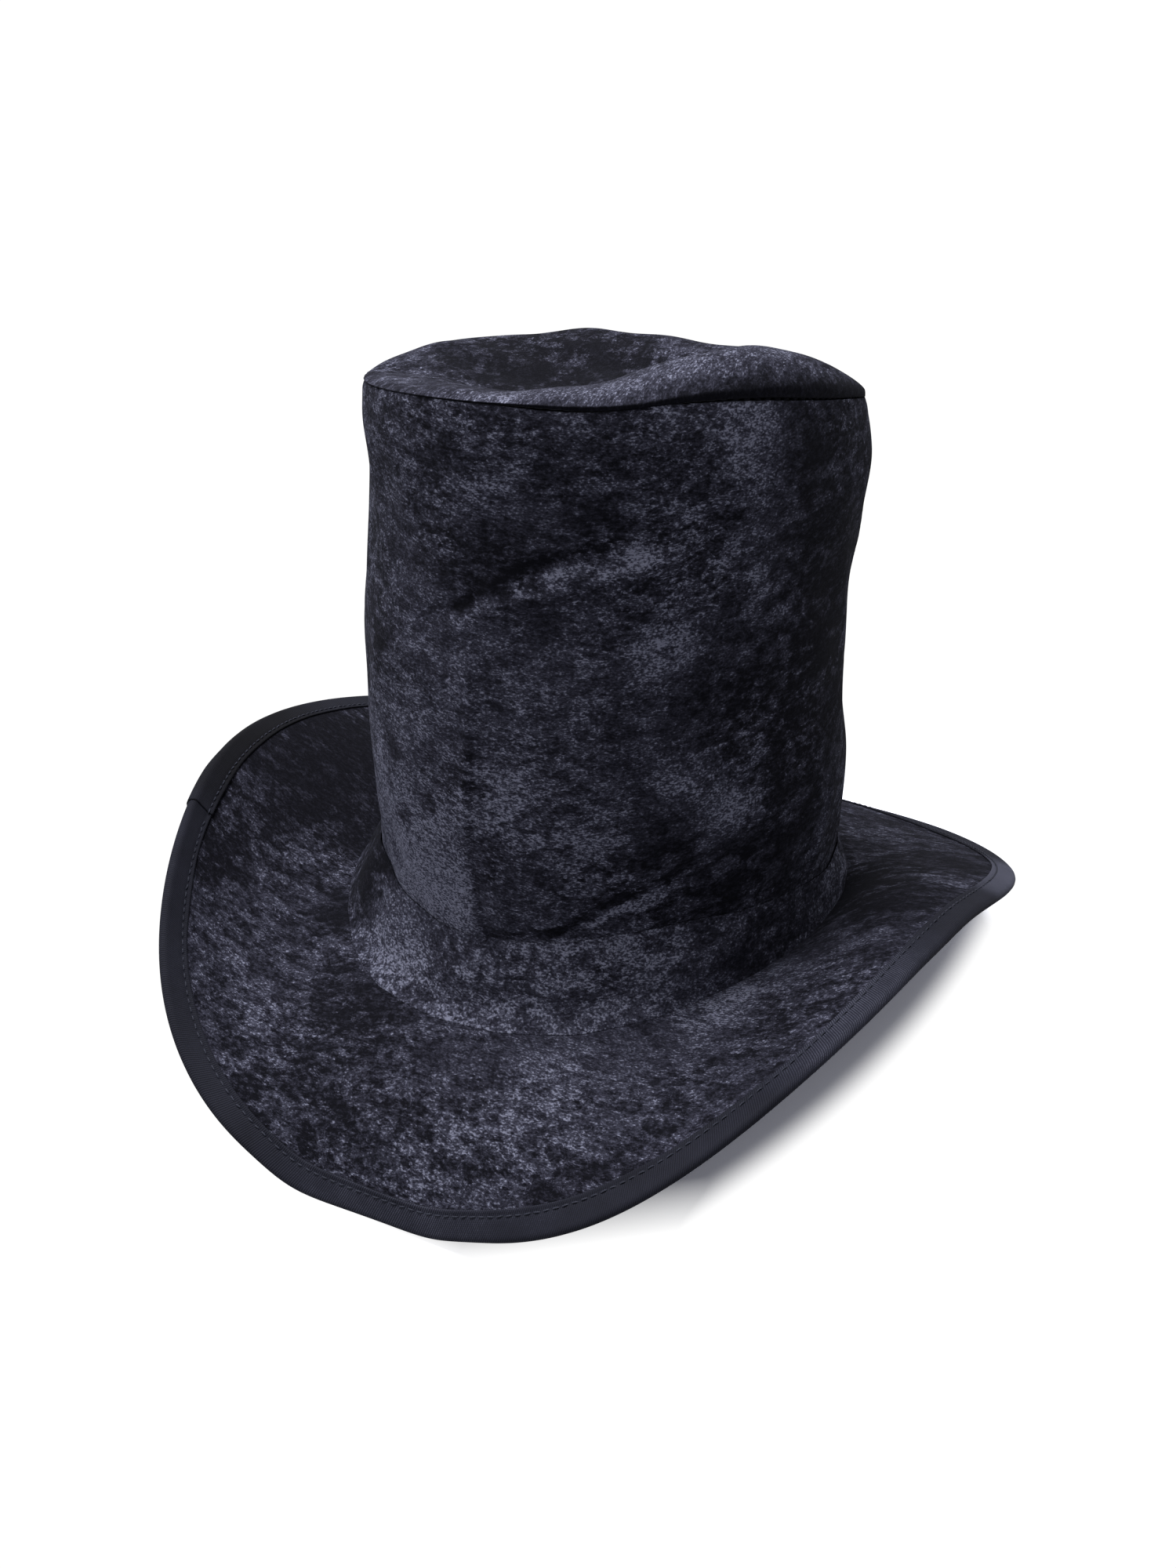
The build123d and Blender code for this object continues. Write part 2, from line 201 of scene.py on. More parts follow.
def brim_lumps(turn, dist):
    """Soft unevenness of the brim, mm up."""
    share = dist / 75.0
    height = 0.65 * np.clip(share * 1.4, 0, 1) * np.clip((1.12 - share) * 3, 0.25, 1)
    return height * waves(turn, share * 3.2, 5, (3, 11), (0.3, 2.6), 14, 0.7)


def brim_section(turn, dist, offset):
    """Out and z of the brim, offset square to its middle surface."""
    turn, dist = np.broadcast_arrays(turn, dist)
    out, rise, slope = brim_arc(turn, dist)
    share = np.clip(dist, 0, None) / width(turn)
    edge_out, edge_up = ring_table(turn, EDGE)
    lumps = brim_lumps(turn, dist) * np.clip(share * 2.5, 0, 1) * np.clip((0.97 - share) * 5, 0, 1)
    rise = rise + (settle(turn) + edge_up) * share**2 + lumps
    out = out + edge_out * share**2
    return out - offset * np.sin(slope), foot_z(turn) + rise + offset * np.cos(slope)


def brim_point(turn, dist, offset):
    return place(turn, *brim_section(turn, dist, offset))


def brim_normal(turn, dist, side):
    slope = brim_arc(turn, dist)[2]
    x, y = outward(turn)
    return np.stack([-np.sin(slope) * x, -np.sin(slope) * y, np.cos(slope)], -1) * side


def inner_z(turn, out, offset):
    """Height of the straight part of the brim, inside its foot."""
    slope = slope_in(turn)
    return foot_z(turn) + out * np.tan(slope) + offset / np.cos(slope)


# ------------------------------------------------------------------ crown surface
# Departures of the wall from a straight taper: share of height, inset mm, lean mm
WALL_SHIFTS = [(0.0, 6.3, 6.0), (0.06, 5.46, 5.5), (0.12, 4.07, 4.83), (0.2, 2.43, 4.09),
               (0.3, 0.59, 2.73), (0.4, 0.79, 0.33), (0.5, 0.91, -1.37), (0.6, 0.75, -1.87),
               (0.7, 1.41, -1.05), (0.8, 0.92, 0.74), (0.88, -0.01, 1.12), (0.94, -0.53, -0.3),
               (1.0, 0.2, -0.9)]
FOOT_INSET, TOP_INSET_X, TOP_INSET_Y = 5, 12.49, 8.42
TOP_LEAN_X, TOP_LEAN_Y = 7.086, 4.376
SHIFT_X, SHIFT_Y = 0.899, 0.438         # direction of the lean departures
# Share of height, inset at the sides, inset front and back, lean x, lean y
WALL = [(h, FOOT_INSET * (1 - h) + TOP_INSET_X * h + inset,
         FOOT_INSET * (1 - h) + TOP_INSET_Y * h + inset,
         TOP_LEAN_X * h + lean * SHIFT_X, TOP_LEAN_Y * h + lean * SHIFT_Y)
        for h, inset, lean in WALL_SHIFTS]
TOP_X, TOP_Y = FOOT_X - WALL[-1][1], FOOT_Y - WALL[-1][2]

# The seam round the top wanders: degrees, up mm, inward mm
SEAM = [(-180, -0.5, 0), (-165, 0, 0), (-120, 0, 0.3), (-95, 0, 0.8), (-72, 0, 0.7), (-50, 0, 0.1),
        (-35, 0, 0), (-10, 0.2, 0), (10, 0, 0), (22, -0.7, 0), (32, -0.1, 0), (41, 1.7, 0),
        (51, 2.4, 0), (61, 2.2, 0.1), (71, 1.2, 0.4), (81, 0, 0.7), (91, -1.2, 1.0),
        (101, -2.8, 1.2), (112, -4.6, 1.2), (128, -6.4, 1.0), (145, -5.2, 0.4), (160, -3.0, 0.2),
        (172, -1.3, 0)]


def seam_firm(turn):
    """How deep the top seam is drawn in; it fades at the sides, most on the wearer's left."""
    degrees = wrap(turn / DEG)
    return 1 - 0.85 * bell(degrees, 104, 40, 4) - 0.5 * bell(degrees, -84, 28, 4)


def seam_z(turn):
    return (SEAM_Z + SEAM_SLOPE_X * SEAM_X * np.sin(turn) - SEAM_SLOPE_Y * SEAM_Y * np.cos(turn)
            + ring_table(turn, SEAM)[0])


# Folds in the crown wall: degrees added to the turn, points (degrees, share of height),
# spread mm, lift mm (negative sinks in), difference in spread between the two sides
FOLDS = [
    # crease down the front, and down the back
    (0, [(1.5, 0.66), (1.0, 0.57), (0.5, 0.5), (0, 0.42), (-0.5, 0.33), (-1, 0.2)], 7.0, 2.2, -0.45),
    (180, [(0, 0.85), (2, 0.6), (1, 0.35), (0, 0.12)], 8.0, 1.8, 0.3),
    # long slanting fold below the top, on the wearer's left front
    (0, [(-14, 0.67), (2, 0.712), (9, 0.748), (19, 0.78), (28, 0.798), (40, 0.815), (56, 0.825)],
     3.4, -3.0, 0.0),
    (0, [(-8, 0.645), (8, 0.71), (24, 0.75), (50, 0.785)], 5.5, 2.2, 0.0),
    # pinch by the band at the front
    (0, [(-3, 0.26), (0.5, 0.20), (3.5, 0.12)], 2.6, -2.3, 0.2),
    (0, [(4, 0.30), (7, 0.22), (9, 0.13)], 3.4, 1.1, 0.2),
    # slanting tucks low on the wearer's left
    (0, [(2, 0.135), (20, 0.155), (32, 0.215), (48, 0.255), (66, 0.27), (84, 0.28)], 3.4, -2.2, 0.0),
    (0, [(92, 0.30), (86, 0.20), (82, 0.10)], 4.0, 1.2, 0.3),
    # soft folds towards the sides and back
    (0, [(-70, 0.9), (-62, 0.75), (-58, 0.6)], 7.0, 1.0, 0.3),
    (0, [(118, 0.88), (112, 0.74), (121, 0.62), (113, 0.5)], 6.5, 1.1, 0.3),
    (0, [(150, 0.30), (128, 0.42), (110, 0.50)], 9.0, 1.0, 0.2),
    (0, [(-150, 0.72), (-128, 0.60), (-104, 0.55)], 9.0, 1.3, 0.2),
    (0, [(-160, 0.25), (-135, 0.33), (-112, 0.30)], 7.0, -1.2, 0.2),
]
FLAT = np.array([1.62, 205.0])          # mm per degree, mm per whole height, wall laid flat


def crease(degrees, share, points, spread, lift, lopsided):
    """Fold along a line of points, steeper on one side."""
    flat_x, flat_y = wrap(degrees) * FLAT[0], share * FLAT[1]
    points = np.array(points, float) * FLAT
    nearest = np.full(np.shape(degrees), 1e9)
    side = np.zeros(np.shape(degrees))
    travel = np.zeros(np.shape(degrees))
    for i, (start, end) in enumerate(zip(points[:-1], points[1:])):
        step = end - start
        along = ((flat_x - start[0]) * step[0] + (flat_y - start[1]) * step[1]) / (step @ step)
        along = np.clip(along, 0, 1)
        x = flat_x - start[0] - along * step[0]
        y = flat_y - start[1] - along * step[1]
        gap = np.hypot(x, y)
        near = gap < nearest
        nearest = np.where(near, gap, nearest)
        side = np.where(near, np.sign(step[0] * y - step[1] * x), side)
        travel = np.where(near, (i + along) / (len(points) - 1), travel)
    fade = np.sin(travel * math.pi) ** 0.5
    return lift * fade * np.exp(-nearest / (spread * (1 + lopsided * side)))


def wall_folds(turn, share):
    """Dents and folds of the soft crown wall, mm outward."""
    total = 0
    for added, *fold in FOLDS:
        total = total + crease(turn / DEG + added, share, *fold)
    fade = np.clip(share * 7, 0, 1) * np.clip((1.0 - share) * 9, 0, 1)
    total = total * fade
    total = total + fade * 0.55 * waves(turn, share * 6.28, 11, (2, 7), (0.4, 1.6), 12, 0.6)
    return total + fade * 0.32 * waves(turn, share * 6.28, 12, (6, 20), (1.2, 5.0), 22, 0.3)


def wall_out(turn, share, depth=0.0):
    inset_x, inset_y, lean_x, lean_y = line_table(share, WALL)
    x, y = outward(turn)
    out = -(inset_x * np.sin(turn) ** 2 + inset_y * np.cos(turn) ** 2) + lean_x * x + lean_y * y
    out = out - ring_table(turn, SEAM)[1] * np.clip((share - 0.9) / 0.1, 0, 1) ** 1.6
    return out + wall_folds(turn, share) - depth


def wall_share(turn, z):
    base = foot_z(turn) - CROWN_DROP
    return (z - base) / (seam_z(turn) - base)


def wall_z(turn, share):
    base = foot_z(turn) - CROWN_DROP
    return base + (seam_z(turn) - base) * share


def opening_out(turn):
    return wall_out(turn, 0.0, CROWN_WALL_DEPTH)


# ------------------------------------------------------------------ mesh building
def make_mesh(name, verts, faces, uvs):
    mesh = bpy.data.meshes.new(name)
    verts = np.asarray(verts, np.float32).reshape(-1, 3) * MM
    faces = np.asarray(faces, np.int32)
    mesh.vertices.add(len(verts))
    mesh.vertices.foreach_set("co", verts.ravel())
    mesh.loops.add(faces.size)
    mesh.loops.foreach_set("vertex_index", faces.ravel())
    mesh.polygons.add(len(faces))
    starts = np.arange(0, faces.size, faces.shape[1], dtype=np.int32)
    mesh.polygons.foreach_set("loop_start", starts)
    mesh.polygons.foreach_set("use_smooth", np.full(len(faces), True))
    layer = mesh.uv_layers.new(name="cloth")
    layer.data.foreach_set("uv", np.asarray(uvs, np.float32)[faces.ravel()].ravel())
    mesh.update(calc_edges=True)
    mesh.validate()
    piece = bpy.data.objects.new(name, mesh)
    bpy.context.scene.collection.objects.link(piece)
    return piece


def fill_holes(piece, split_faces=None):
    """Cap open ends; split_faces is the bmesh operator that breaks up large caps."""
    mesh = bmesh.new()
    mesh.from_mesh(piece.data)
    bmesh.ops.holes_fill(mesh, edges=[e for e in mesh.edges if e.is_boundary], sides=0)
    if split_faces:
        split_faces(mesh, faces=[f for f in mesh.faces if len(f.verts) > 4])
    mesh.to_mesh(piece.data)
    mesh.free()
    for face in piece.data.polygons:
        face.use_smooth = True


def grid_faces(stations, size, closed=True, skip=None):
    """Quads between sections of `size` points; skip leaves one strip out."""
    i = np.arange(stations if closed else stations - 1)[:, None]
    j = np.array([k for k in range(size) if k != skip])[None, :]
    after, above = (i + 1) % stations, (j + 1) % size
    corners = [i * size + j, after * size + j, after * size + above, i * size + above]
    return np.stack(corners, -1).reshape(-1, 4)


def ring_piece(name, points, u, v, closed=True):
    """Skin round closed sections, points[station, place]; open strips get end caps."""
    faces = grid_faces(*points.shape[:2], closed=closed)
    verts = points.reshape(-1, 3)
    first, second, third, fourth = (verts[faces[:, k]] for k in range(4))
    volume = (first * (np.cross(second, third) + np.cross(third, fourth))).sum()
    if volume < 0:
        faces = faces[:, ::-1]
    uvs = np.stack(np.broadcast_arrays(u[:, None], v[None]), -1).reshape(-1, 2)
    piece = make_mesh(name, verts, faces, uvs)
    if not closed:
        fill_holes(piece, bmesh.ops.triangulate)
    return piece


def run(points):
    """Length in mm from the first point to each point."""
    steps = np.linalg.norm(np.diff(points, axis=0), axis=-1)
    return np.concatenate([[0], np.cumsum(steps)])


# ------------------------------------------------------------------ brim layers
def brim_layer(name, outer_offset, inner_offset, stations, outer_steps, inner_steps):
    turn = np.linspace(-math.pi, math.pi, stations, endpoint=False)
    opening = opening_out(turn)

    def row(share, offset):
        # negative shares run inward from the foot to the head opening
        if share < 0:
            out = opening * -share
            return place(turn, out, inner_z(turn, out, offset))
        return brim_point(turn, share * (width(turn) - 3.2), offset)

    inside = [-1.0, -0.66, -0.33]
    outer = inside + list(np.linspace(0, 1, outer_steps))
    inner = (inside + list(np.linspace(0, 1, inner_steps)))[::-1]
    points = np.stack([row(k, outer_offset) for k in outer] + [row(k, inner_offset) for k in inner], 1)
    v = np.array([(k if k >= 0 else k * 0.2) * 0.07 for k in outer + inner])
    return ring_piece(name, points, run(place(turn, 30.0, 0.0)) * MM, v)


brim_top = brim_layer("brim_top_cloth", BRIM_FACE, BRIM_BACK, 620, 62, 20)
brim_under = brim_layer("brim_under_cloth", -BRIM_FACE, -BRIM_BACK, 520, 50, 16)
brim_core = brim_layer("brim_core_sheet", CORE_FACE, -CORE_FACE, 260, 10, 10)


# ------------------------------------------------------------------ binding tape
TAPE_LAP_RISE = 0.6


def tape_rise(degrees):
    """The tape's end climbs over its start; degrees run from the join."""
    return TAPE_LAP_RISE * ease(np.clip((degrees - 352) / 6.0, 0, 1))


def tape_piece(name):
    stations = 900
    degrees = np.concatenate([np.linspace(0, 350, stations, endpoint=False),
                              np.linspace(350, 364.6, 70)])
    turn = (TAPE_JOIN + degrees) * DEG
    rise = tape_rise(degrees)
    edge = edge_dist(turn)
    reach = TAPE_WIDTH - TAPE_OUT
    pucker = 0.10 * ripple(turn, 21, (120, 220), 8, 0.0)
    slack = 0.16 * ripple(turn, 22, (9, 40), 10, 0.3)

    def skin(offset, steps, bends, detailed):
        """Top leg, bend round the edge, under leg. The stitched face has a lip and a dip."""
        def leg(share, side, lip, pucker_size):
            lift = offset + rise
            if detailed:
                across = share * reach
                lift = (lift + lip * bell(across, 0.35, 0.45) - 0.20 * bell(across, 2.0, 0.55)
                        + pucker_size * pucker * bell(across, 2.0, 1.5))
            return brim_point(turn, edge - reach * (1 - share) + slack * (1 - share), side * lift)

        shares = np.linspace(0, 1, steps)
        wire_out, wire_z = brim_section(turn, edge, 0.0)
        slope = brim_arc(turn, edge)[2]
        radius = offset + rise
        rows = [leg(k, 1, 0.42, 1) for k in shares]
        for bend in np.linspace(math.pi / 2, -math.pi / 2, bends)[1:-1]:
            rows.append(place(turn, wire_out + radius * np.cos(slope + bend),
                              wire_z + radius * np.sin(slope + bend)))
        return rows + [leg(k, -1, 0.30, 0) for k in shares[::-1]]

    points = np.stack(skin(TAPE_OUT, 14, 9, True) + skin(TAPE_IN, 6, 5, False)[::-1], 1)
    points[..., 2] = np.maximum(points[..., 2], 0.02)
    u = run(brim_point(turn, width(turn) - 5.0, 2.0)) * MM
    return ring_piece(name, points, u, run(points[stations // 2]) * MM, closed=False)


tape = tape_piece("brim_binding_tape")


# ------------------------------------------------------------------ stitches
def strands(name, centres, along, up, length, radius, sink, seed):
    """Short arched strands of thread, one at each centre; sizes in mm."""
    rng = np.random.default_rng(seed)
    count, rings, sides = len(centres), 7, 8
    side = np.cross(along, up)
    side /= np.linalg.norm(side, axis=1, keepdims=True)
    lift = np.cross(side, along)
    lift /= np.linalg.norm(lift, axis=1, keepdims=True)
    skew = rng.normal(0, 0.07, count)[:, None]
    along = along / np.linalg.norm(along, axis=1, keepdims=True) + side * skew
    lengths = length * (1 + rng.normal(0, 0.05, count))[:, None]
    verts, faces, uvs = [], [], []
    for j in range(rings):
        x = -1 + 2 * j / (rings - 1)
        fat = radius * (0.45 if abs(x) == 1 else (1.0 + 0.06 * math.cos(j * 3.1)))
        arch = radius * 0.55 * (1 - x * x) - sink * x**4
        middle = centres + along * lengths / 2 * x + lift * arch
        for k in range(sides):
            angle = 2 * math.pi * (k + 0.35 * j) / sides
            verts.append(middle + side * fat * math.cos(angle) * 1.12
                         + lift * fat * math.sin(angle) * 0.9)
            uvs.append((x * length / 2 * MM, k / sides * MM))
    for j in range(rings - 1):
        for k in range(sides):
            low, high, k_next = j * sides, (j + 1) * sides, (k + 1) % sides
            faces.append((low + k, high + k, high + k_next, low + k_next))
    verts = np.stack(verts, 1).reshape(-1, 3)
    starts = np.arange(count) * rings * sides
    faces = (np.array(faces)[None] + starts[:, None, None]).reshape(-1, 4)
    quad = verts[faces[0]]
    normal = np.cross(quad[1] - quad[0], quad[2] - quad[0])
    if normal @ (quad.mean(0) - centres[0]) < 0:
        faces = faces[:, ::-1]
    piece = make_mesh(name, verts, faces, np.tile(np.array(uvs), (count, 1)))
    fill_holes(piece)
    return piece


def stitch_row(name, point, up, pitch, length, radius, sink, seed, start=-180.0, end=180.0):
    """Evenly pitched stitches along the curve point(turn)."""
    turn = np.linspace(start, end, 1441) * DEG
    travel = run(point(turn))
    count = int(travel[-1] / pitch)
    turn = np.interp((np.arange(count) + 0.5) * travel[-1] / count, travel, turn)
    along = point(turn + 0.002) - point(turn - 0.002)
    return strands(name, point(turn), along, up(turn), length, radius, sink, seed)


def binding_stitches(name, side, seed):
    def point(turn):
        degrees = (turn / DEG - TAPE_JOIN) % 360
        rise = np.where(degrees <= 5.4, TAPE_LAP_RISE, tape_rise(degrees))
        return brim_point(turn, width(turn) - TAPE_WIDTH + 2.0,
                          side * (TAPE_OUT - 0.20 + 0.24 + rise))

    return stitch_row(name, point, lambda turn: brim_normal(turn, width(turn) - 8, side), pitch=3.4,
                      length=2.5, radius=0.27, sink=0.25, seed=seed,
                      start=TAPE_JOIN + 6, end=TAPE_JOIN + 365)


stitches_top = binding_stitches("binding_stitching_upper", 1, 3)
stitches_under = binding_stitches("binding_stitching_lower", -1, 4)


# ------------------------------------------------------------------ edge wire and sleeve
def tube_rings(path, radius, angles):
    tangent = np.gradient(path, axis=0)
    tangent /= np.linalg.norm(tangent, axis=1, keepdims=True)
    side = np.cross(tangent, np.array([0, 0, 1.0]))
    side /= np.linalg.norm(side, axis=1, keepdims=True)
    normal = np.cross(side, tangent)
    return path[:, None] + radius * (np.cos(angles)[None, :, None] * side[:, None]
                                     + np.sin(angles)[None, :, None] * normal[:, None])


def edge_path(start, end, count):
    turn = np.linspace(start, end, count) * DEG
    return brim_point(turn, edge_dist(turn), 0.0)


def wire_piece(name, path, radius, sides):
    angles = np.linspace(0, 2 * math.pi, sides, endpoint=False)
    return ring_piece(name, tube_rings(path, radius, angles), run(path) * MM,
                      angles / 6.28 * 0.004, closed=False)


def sleeve_piece(name, path, radius, wall, sides):
    """Hollow tube, open at both ends."""
    angles = np.linspace(0, 2 * math.pi, sides, endpoint=False)
    verts = np.concatenate([tube_rings(path, radius, angles).reshape(-1, 3),
                            tube_rings(path, radius - wall, angles).reshape(-1, 3)])
    inner = len(path) * sides
    faces = []
    for i in range(len(path) - 1):
        here, there = i * sides, (i + 1) * sides
        for k in range(sides):
            k_next = (k + 1) % sides
            quad = np.array([here + k, here + k_next, there + k_next, there + k])
            faces += [quad, inner + quad[[0, 3, 2, 1]]]
    for end in (0, inner - sides):
        for k in range(sides):
            k_next = (k + 1) % sides
            quad = (end + k, inner + end + k, inner + end + k_next, end + k_next)
            faces.append(quad if end == 0 else quad[::-1])
    return make_mesh(name, verts, faces, verts[:, :2] * MM)


wire = wire_piece("brim_edge_spring_wire", edge_path(-179.3, 179.3, 700), radius=0.7, sides=12)
sleeve = sleeve_piece("wire_crimp_sleeve", edge_path(177.6, 182.4, 13), radius=1.25, wall=0.35,
                      sides=20)


# ------------------------------------------------------------------ crown wall
def wall_piece(name, depth, thick, stations, outer_steps, inner_steps):
    turn = np.linspace(-179.85, 179.85, stations) * DEG
    turn_in = 0.985                     # share of height where the cloth turns in

    def row(share, deep):
        base_z = inner_z(turn, wall_out(turn, 0.0, deep), BRIM_FACE) + 0.25
        base = wall_share(turn, base_z)
        height = base + (1 - base) * share
        out = wall_out(turn, np.clip(height, 0, 1), deep)
        z = wall_z(turn, height)
        if deep == 0:
            # the face cloth puckers and turns in at the seam round the top
            tuck = np.clip((share - turn_in) / 0.015, 0, 1)
            out = out - 0.60 * tuck**2 * seam_firm(turn)
            out = out + 0.15 * ripple(turn, 31, (60, 150), 10, 0.0) * bell(share, turn_in, 0.012)
            z = z + SEAM_RISE - 0.14 * tuck
        else:
            z = z - 0.5 * (share > 0.99)
        return place(turn, out, z)

    outer = np.concatenate([np.linspace(0, turn_in, outer_steps), [0.990, 0.994, 0.9975, 0.9995]])
    inner = np.linspace(0, 1, inner_steps)[::-1]
    points = np.stack([row(k, depth) for k in outer] + [row(k, depth + thick) for k in inner], 1)
    return ring_piece(name, points, np.linspace(0, 0.60, stations),
                      np.concatenate([outer, inner]) * 0.2, closed=False)


side_cloth = wall_piece("crown_side_cloth", 0.0, CLOTH_THICK, 520, 150, 14)
side_foam = wall_piece("crown_side_padding", 0.78, FOAM_THICK, 260, 70, 70)
side_lining = wall_piece("crown_side_lining_cloth", 2.86, LINING_THICK, 300, 90, 90)

# ------------------------------------------------------------------ crown top
# Roll round the top: degrees, crest above the seam mm, crest in from the seam mm, softness
ROLL = [(-180, 6.2, 15, 0.1), (-150, 9.8, 15, 0.1), (-120, 9.9, 15, 0.15), (-95, 8.5, 15, 0.0),
        (-75, 6.4, 13, -0.08), (-55, 2.7, 11, -0.05), (-35, 2.7, 10, 0), (-15, 2.8, 9, 0),
        (5, 2.8, 10, 0), (20, 5.2, 14, 0), (35, 9.5, 19, 0.1), (52, 13.3, 21, 0.08),
        (70, 15.3, 20, 0.0), (90, 9.9, 17, -0.1), (108, 5.0, 13, -0.2), (130, 5.2, 14, -0.15),
        (155, 6.5, 15, 0.1)]
BOWL = -4.5                             # height of the top's middle against the seam plane


def top_height(turn, inward, radius):
    """Rise above the seam plane, inward mm in from the seam."""
    crest, reach, soft = ring_table(turn, ROLL)
    share = np.clip(inward / reach, 0, 1)
    roll = crest * np.clip(1 - (1 - share) ** 2, 0, 1) ** (0.5 + soft)
    fall = ease(np.clip((inward - reach) / (0.72 * np.clip(radius - reach, 10, None)), 0, 1))
    return np.where(inward < reach, roll, crest + (BOWL - crest) * fall)


def top_relief(x, y, inward):
    """Fold running from the front middle to the wearer's left, dents and lumps, mm up."""
    fold_x, fold_y = x + 4, y + 60
    along = fold_x * 0.70 + fold_y * 0.71
    across = -fold_x * 0.71 + fold_y * 0.70
    ridge = 5.0 * bell(across, 4, 12.0) * bell(along, 52, 42.0)
    dents = (-3.2 * bell(x, -26, 30.0) * bell(y, -30, 36.0)
             - 2.0 * bell(x, 20, 26.0) * bell(y, 40, 30.0))
    lumps = (0.6 * (np.sin(x * 0.075 + 1.0) * np.cos(y * 0.062 + 0.4))
             + 0.3 * np.sin(x * 0.17 + y * 0.11 + 2.0) + 0.25 * np.sin(-x * 0.13 + y * 0.21 + 0.7))
    return (ridge + dents + lumps) * np.clip((inward - 2) / 14.0, 0, 1)


def top_point(turn, step, depth):
    """Step 0 to 1 runs over the roll, 1 to 2 from its crest to the middle."""
    radius = np.hypot(TOP_X * np.sin(turn), TOP_Y * np.cos(turn))
    reach = ring_table(turn, ROLL)[1]
    inward = step * reach if step <= 1 else reach + (step - 1) * (radius - reach)
    seam_up, seam_in = ring_table(turn, SEAM)
    near = ease(np.clip(1 - inward / (reach * 1.5), 0, 1))
    moved = inward + depth * np.clip(1 - inward / reach, 0, 1) + seam_in * near
    share = np.clip(1 - moved / radius, 0, 1)
    x = TOP_X * np.sin(turn) * share
    y = -TOP_Y * np.cos(turn) * share
    rise = (top_height(turn, inward, radius) - depth * np.clip(inward / reach, 0, 1) ** 0.5
            + seam_up * near)
    roll_waves = (0.40 * waves(turn, step * 2.0, 41, (4, 14), (0.3, 2.0), 14, 0.4)
                  * np.clip(step * 2, 0, 1) * np.clip(2 - step, 0, 1))
    rise = rise + top_relief(x, y, inward) + roll_waves * share
    z = SEAM_Z + SEAM_SLOPE_X * x + SEAM_SLOPE_Y * y + rise + SEAM_RISE
    if depth == 0:
        pucker = 0.16 * ripple(turn, 32, (60, 150), 10, 0.0)
        firm = seam_firm(turn)
        out = ((0.35 + pucker) * bell(step, 0.035, 0.03) - 0.7 * bell(step, 0, 0.012)) * firm
        # where the seam fades, the top's edge laps a hair over the side
        over = (1 - firm) * bell(step, 0, 0.02)
        out = out + 0.22 * over
        z = z - 0.55 * over
        x = x + np.sin(turn) * out
        y = y - np.cos(turn) * out
    return np.stack([x + TOP_CENTRE_X, y + TOP_CENTRE_Y, z], -1)


def top_piece(name, depth, thick, stations, count):
    turn = np.linspace(-math.pi, math.pi, stations, endpoint=False)
    steps = np.concatenate([1 - np.cos(np.linspace(0, math.pi / 2, count // 3)),
                            np.linspace(1, 1.985, count - count // 3 + 1)[1:]])
    points = np.stack([top_point(turn, k, depth) for k in steps]
                      + [top_point(turn, k, depth + thick) for k in steps[::-2]], 1)
    size = points.shape[1]
    verts = points.reshape(-1, 3)
    # the two skins meet at the rim but not at the middle
    faces = grid_faces(stations, size, skip=len(steps) - 1)
    middle = len(steps) // 2
    corner = verts[middle]
    normal = np.cross(verts[size + middle] - corner, verts[size + middle + 1] - corner)
    if normal[2] < 0:
        faces = faces[:, ::-1]
    piece = make_mesh(name, verts, faces, verts[:, :2] * MM)
    fill_holes(piece, bmesh.ops.poke)
    return piece


top_cloth = top_piece("crown_top_cloth", 0.0, CLOTH_THICK, 560, 90)
top_foam = top_piece("crown_top_padding", 0.85, FOAM_THICK, 200, 44)
top_lining = top_piece("crown_top_lining_cloth", 2.95, LINING_THICK, 220, 48)


# ------------------------------------------------------------------ crown seam threads
def top_groove(turn):
    return place(turn, wall_out(turn, 1.0) - 1.6, seam_z(turn) + SEAM_RISE)


def back_line(share):
    turn = np.full_like(share, math.pi)
    return place(turn, wall_out(turn, share) - 0.45, wall_z(turn, share))


top_thread = stitch_row("crown_top_seam_stitching", top_groove, outward_vector, pitch=4.3,
                        length=2.8, radius=0.2, sink=0.1, seed=5)
back_shares = np.linspace(0.06, 0.97, 46)
back_thread = strands("crown_back_seam_stitching", back_line(back_shares),
                      back_line(back_shares + 0.004) - back_line(back_shares - 0.004),
                      np.tile(np.array([0, 1.0, 0]), (len(back_shares), 1)),
                      length=2.8, radius=0.2, sink=0.1, seed=6)

# ------------------------------------------------------------------ hat band
# Height of the band above the brim's foot: degrees, mm
BAND = [(-180, 21), (-150, 24), (-120, 27), (-90, 29), (-60, 29), (-40, 28), (-25, 26),
        (-10, 24.5), (5, 26), (20, 28.5), (33, 30), (47, 29), (62, 26), (78, 21), (92, 18),
        (110, 18), (140, 18.5), (160, 20)]


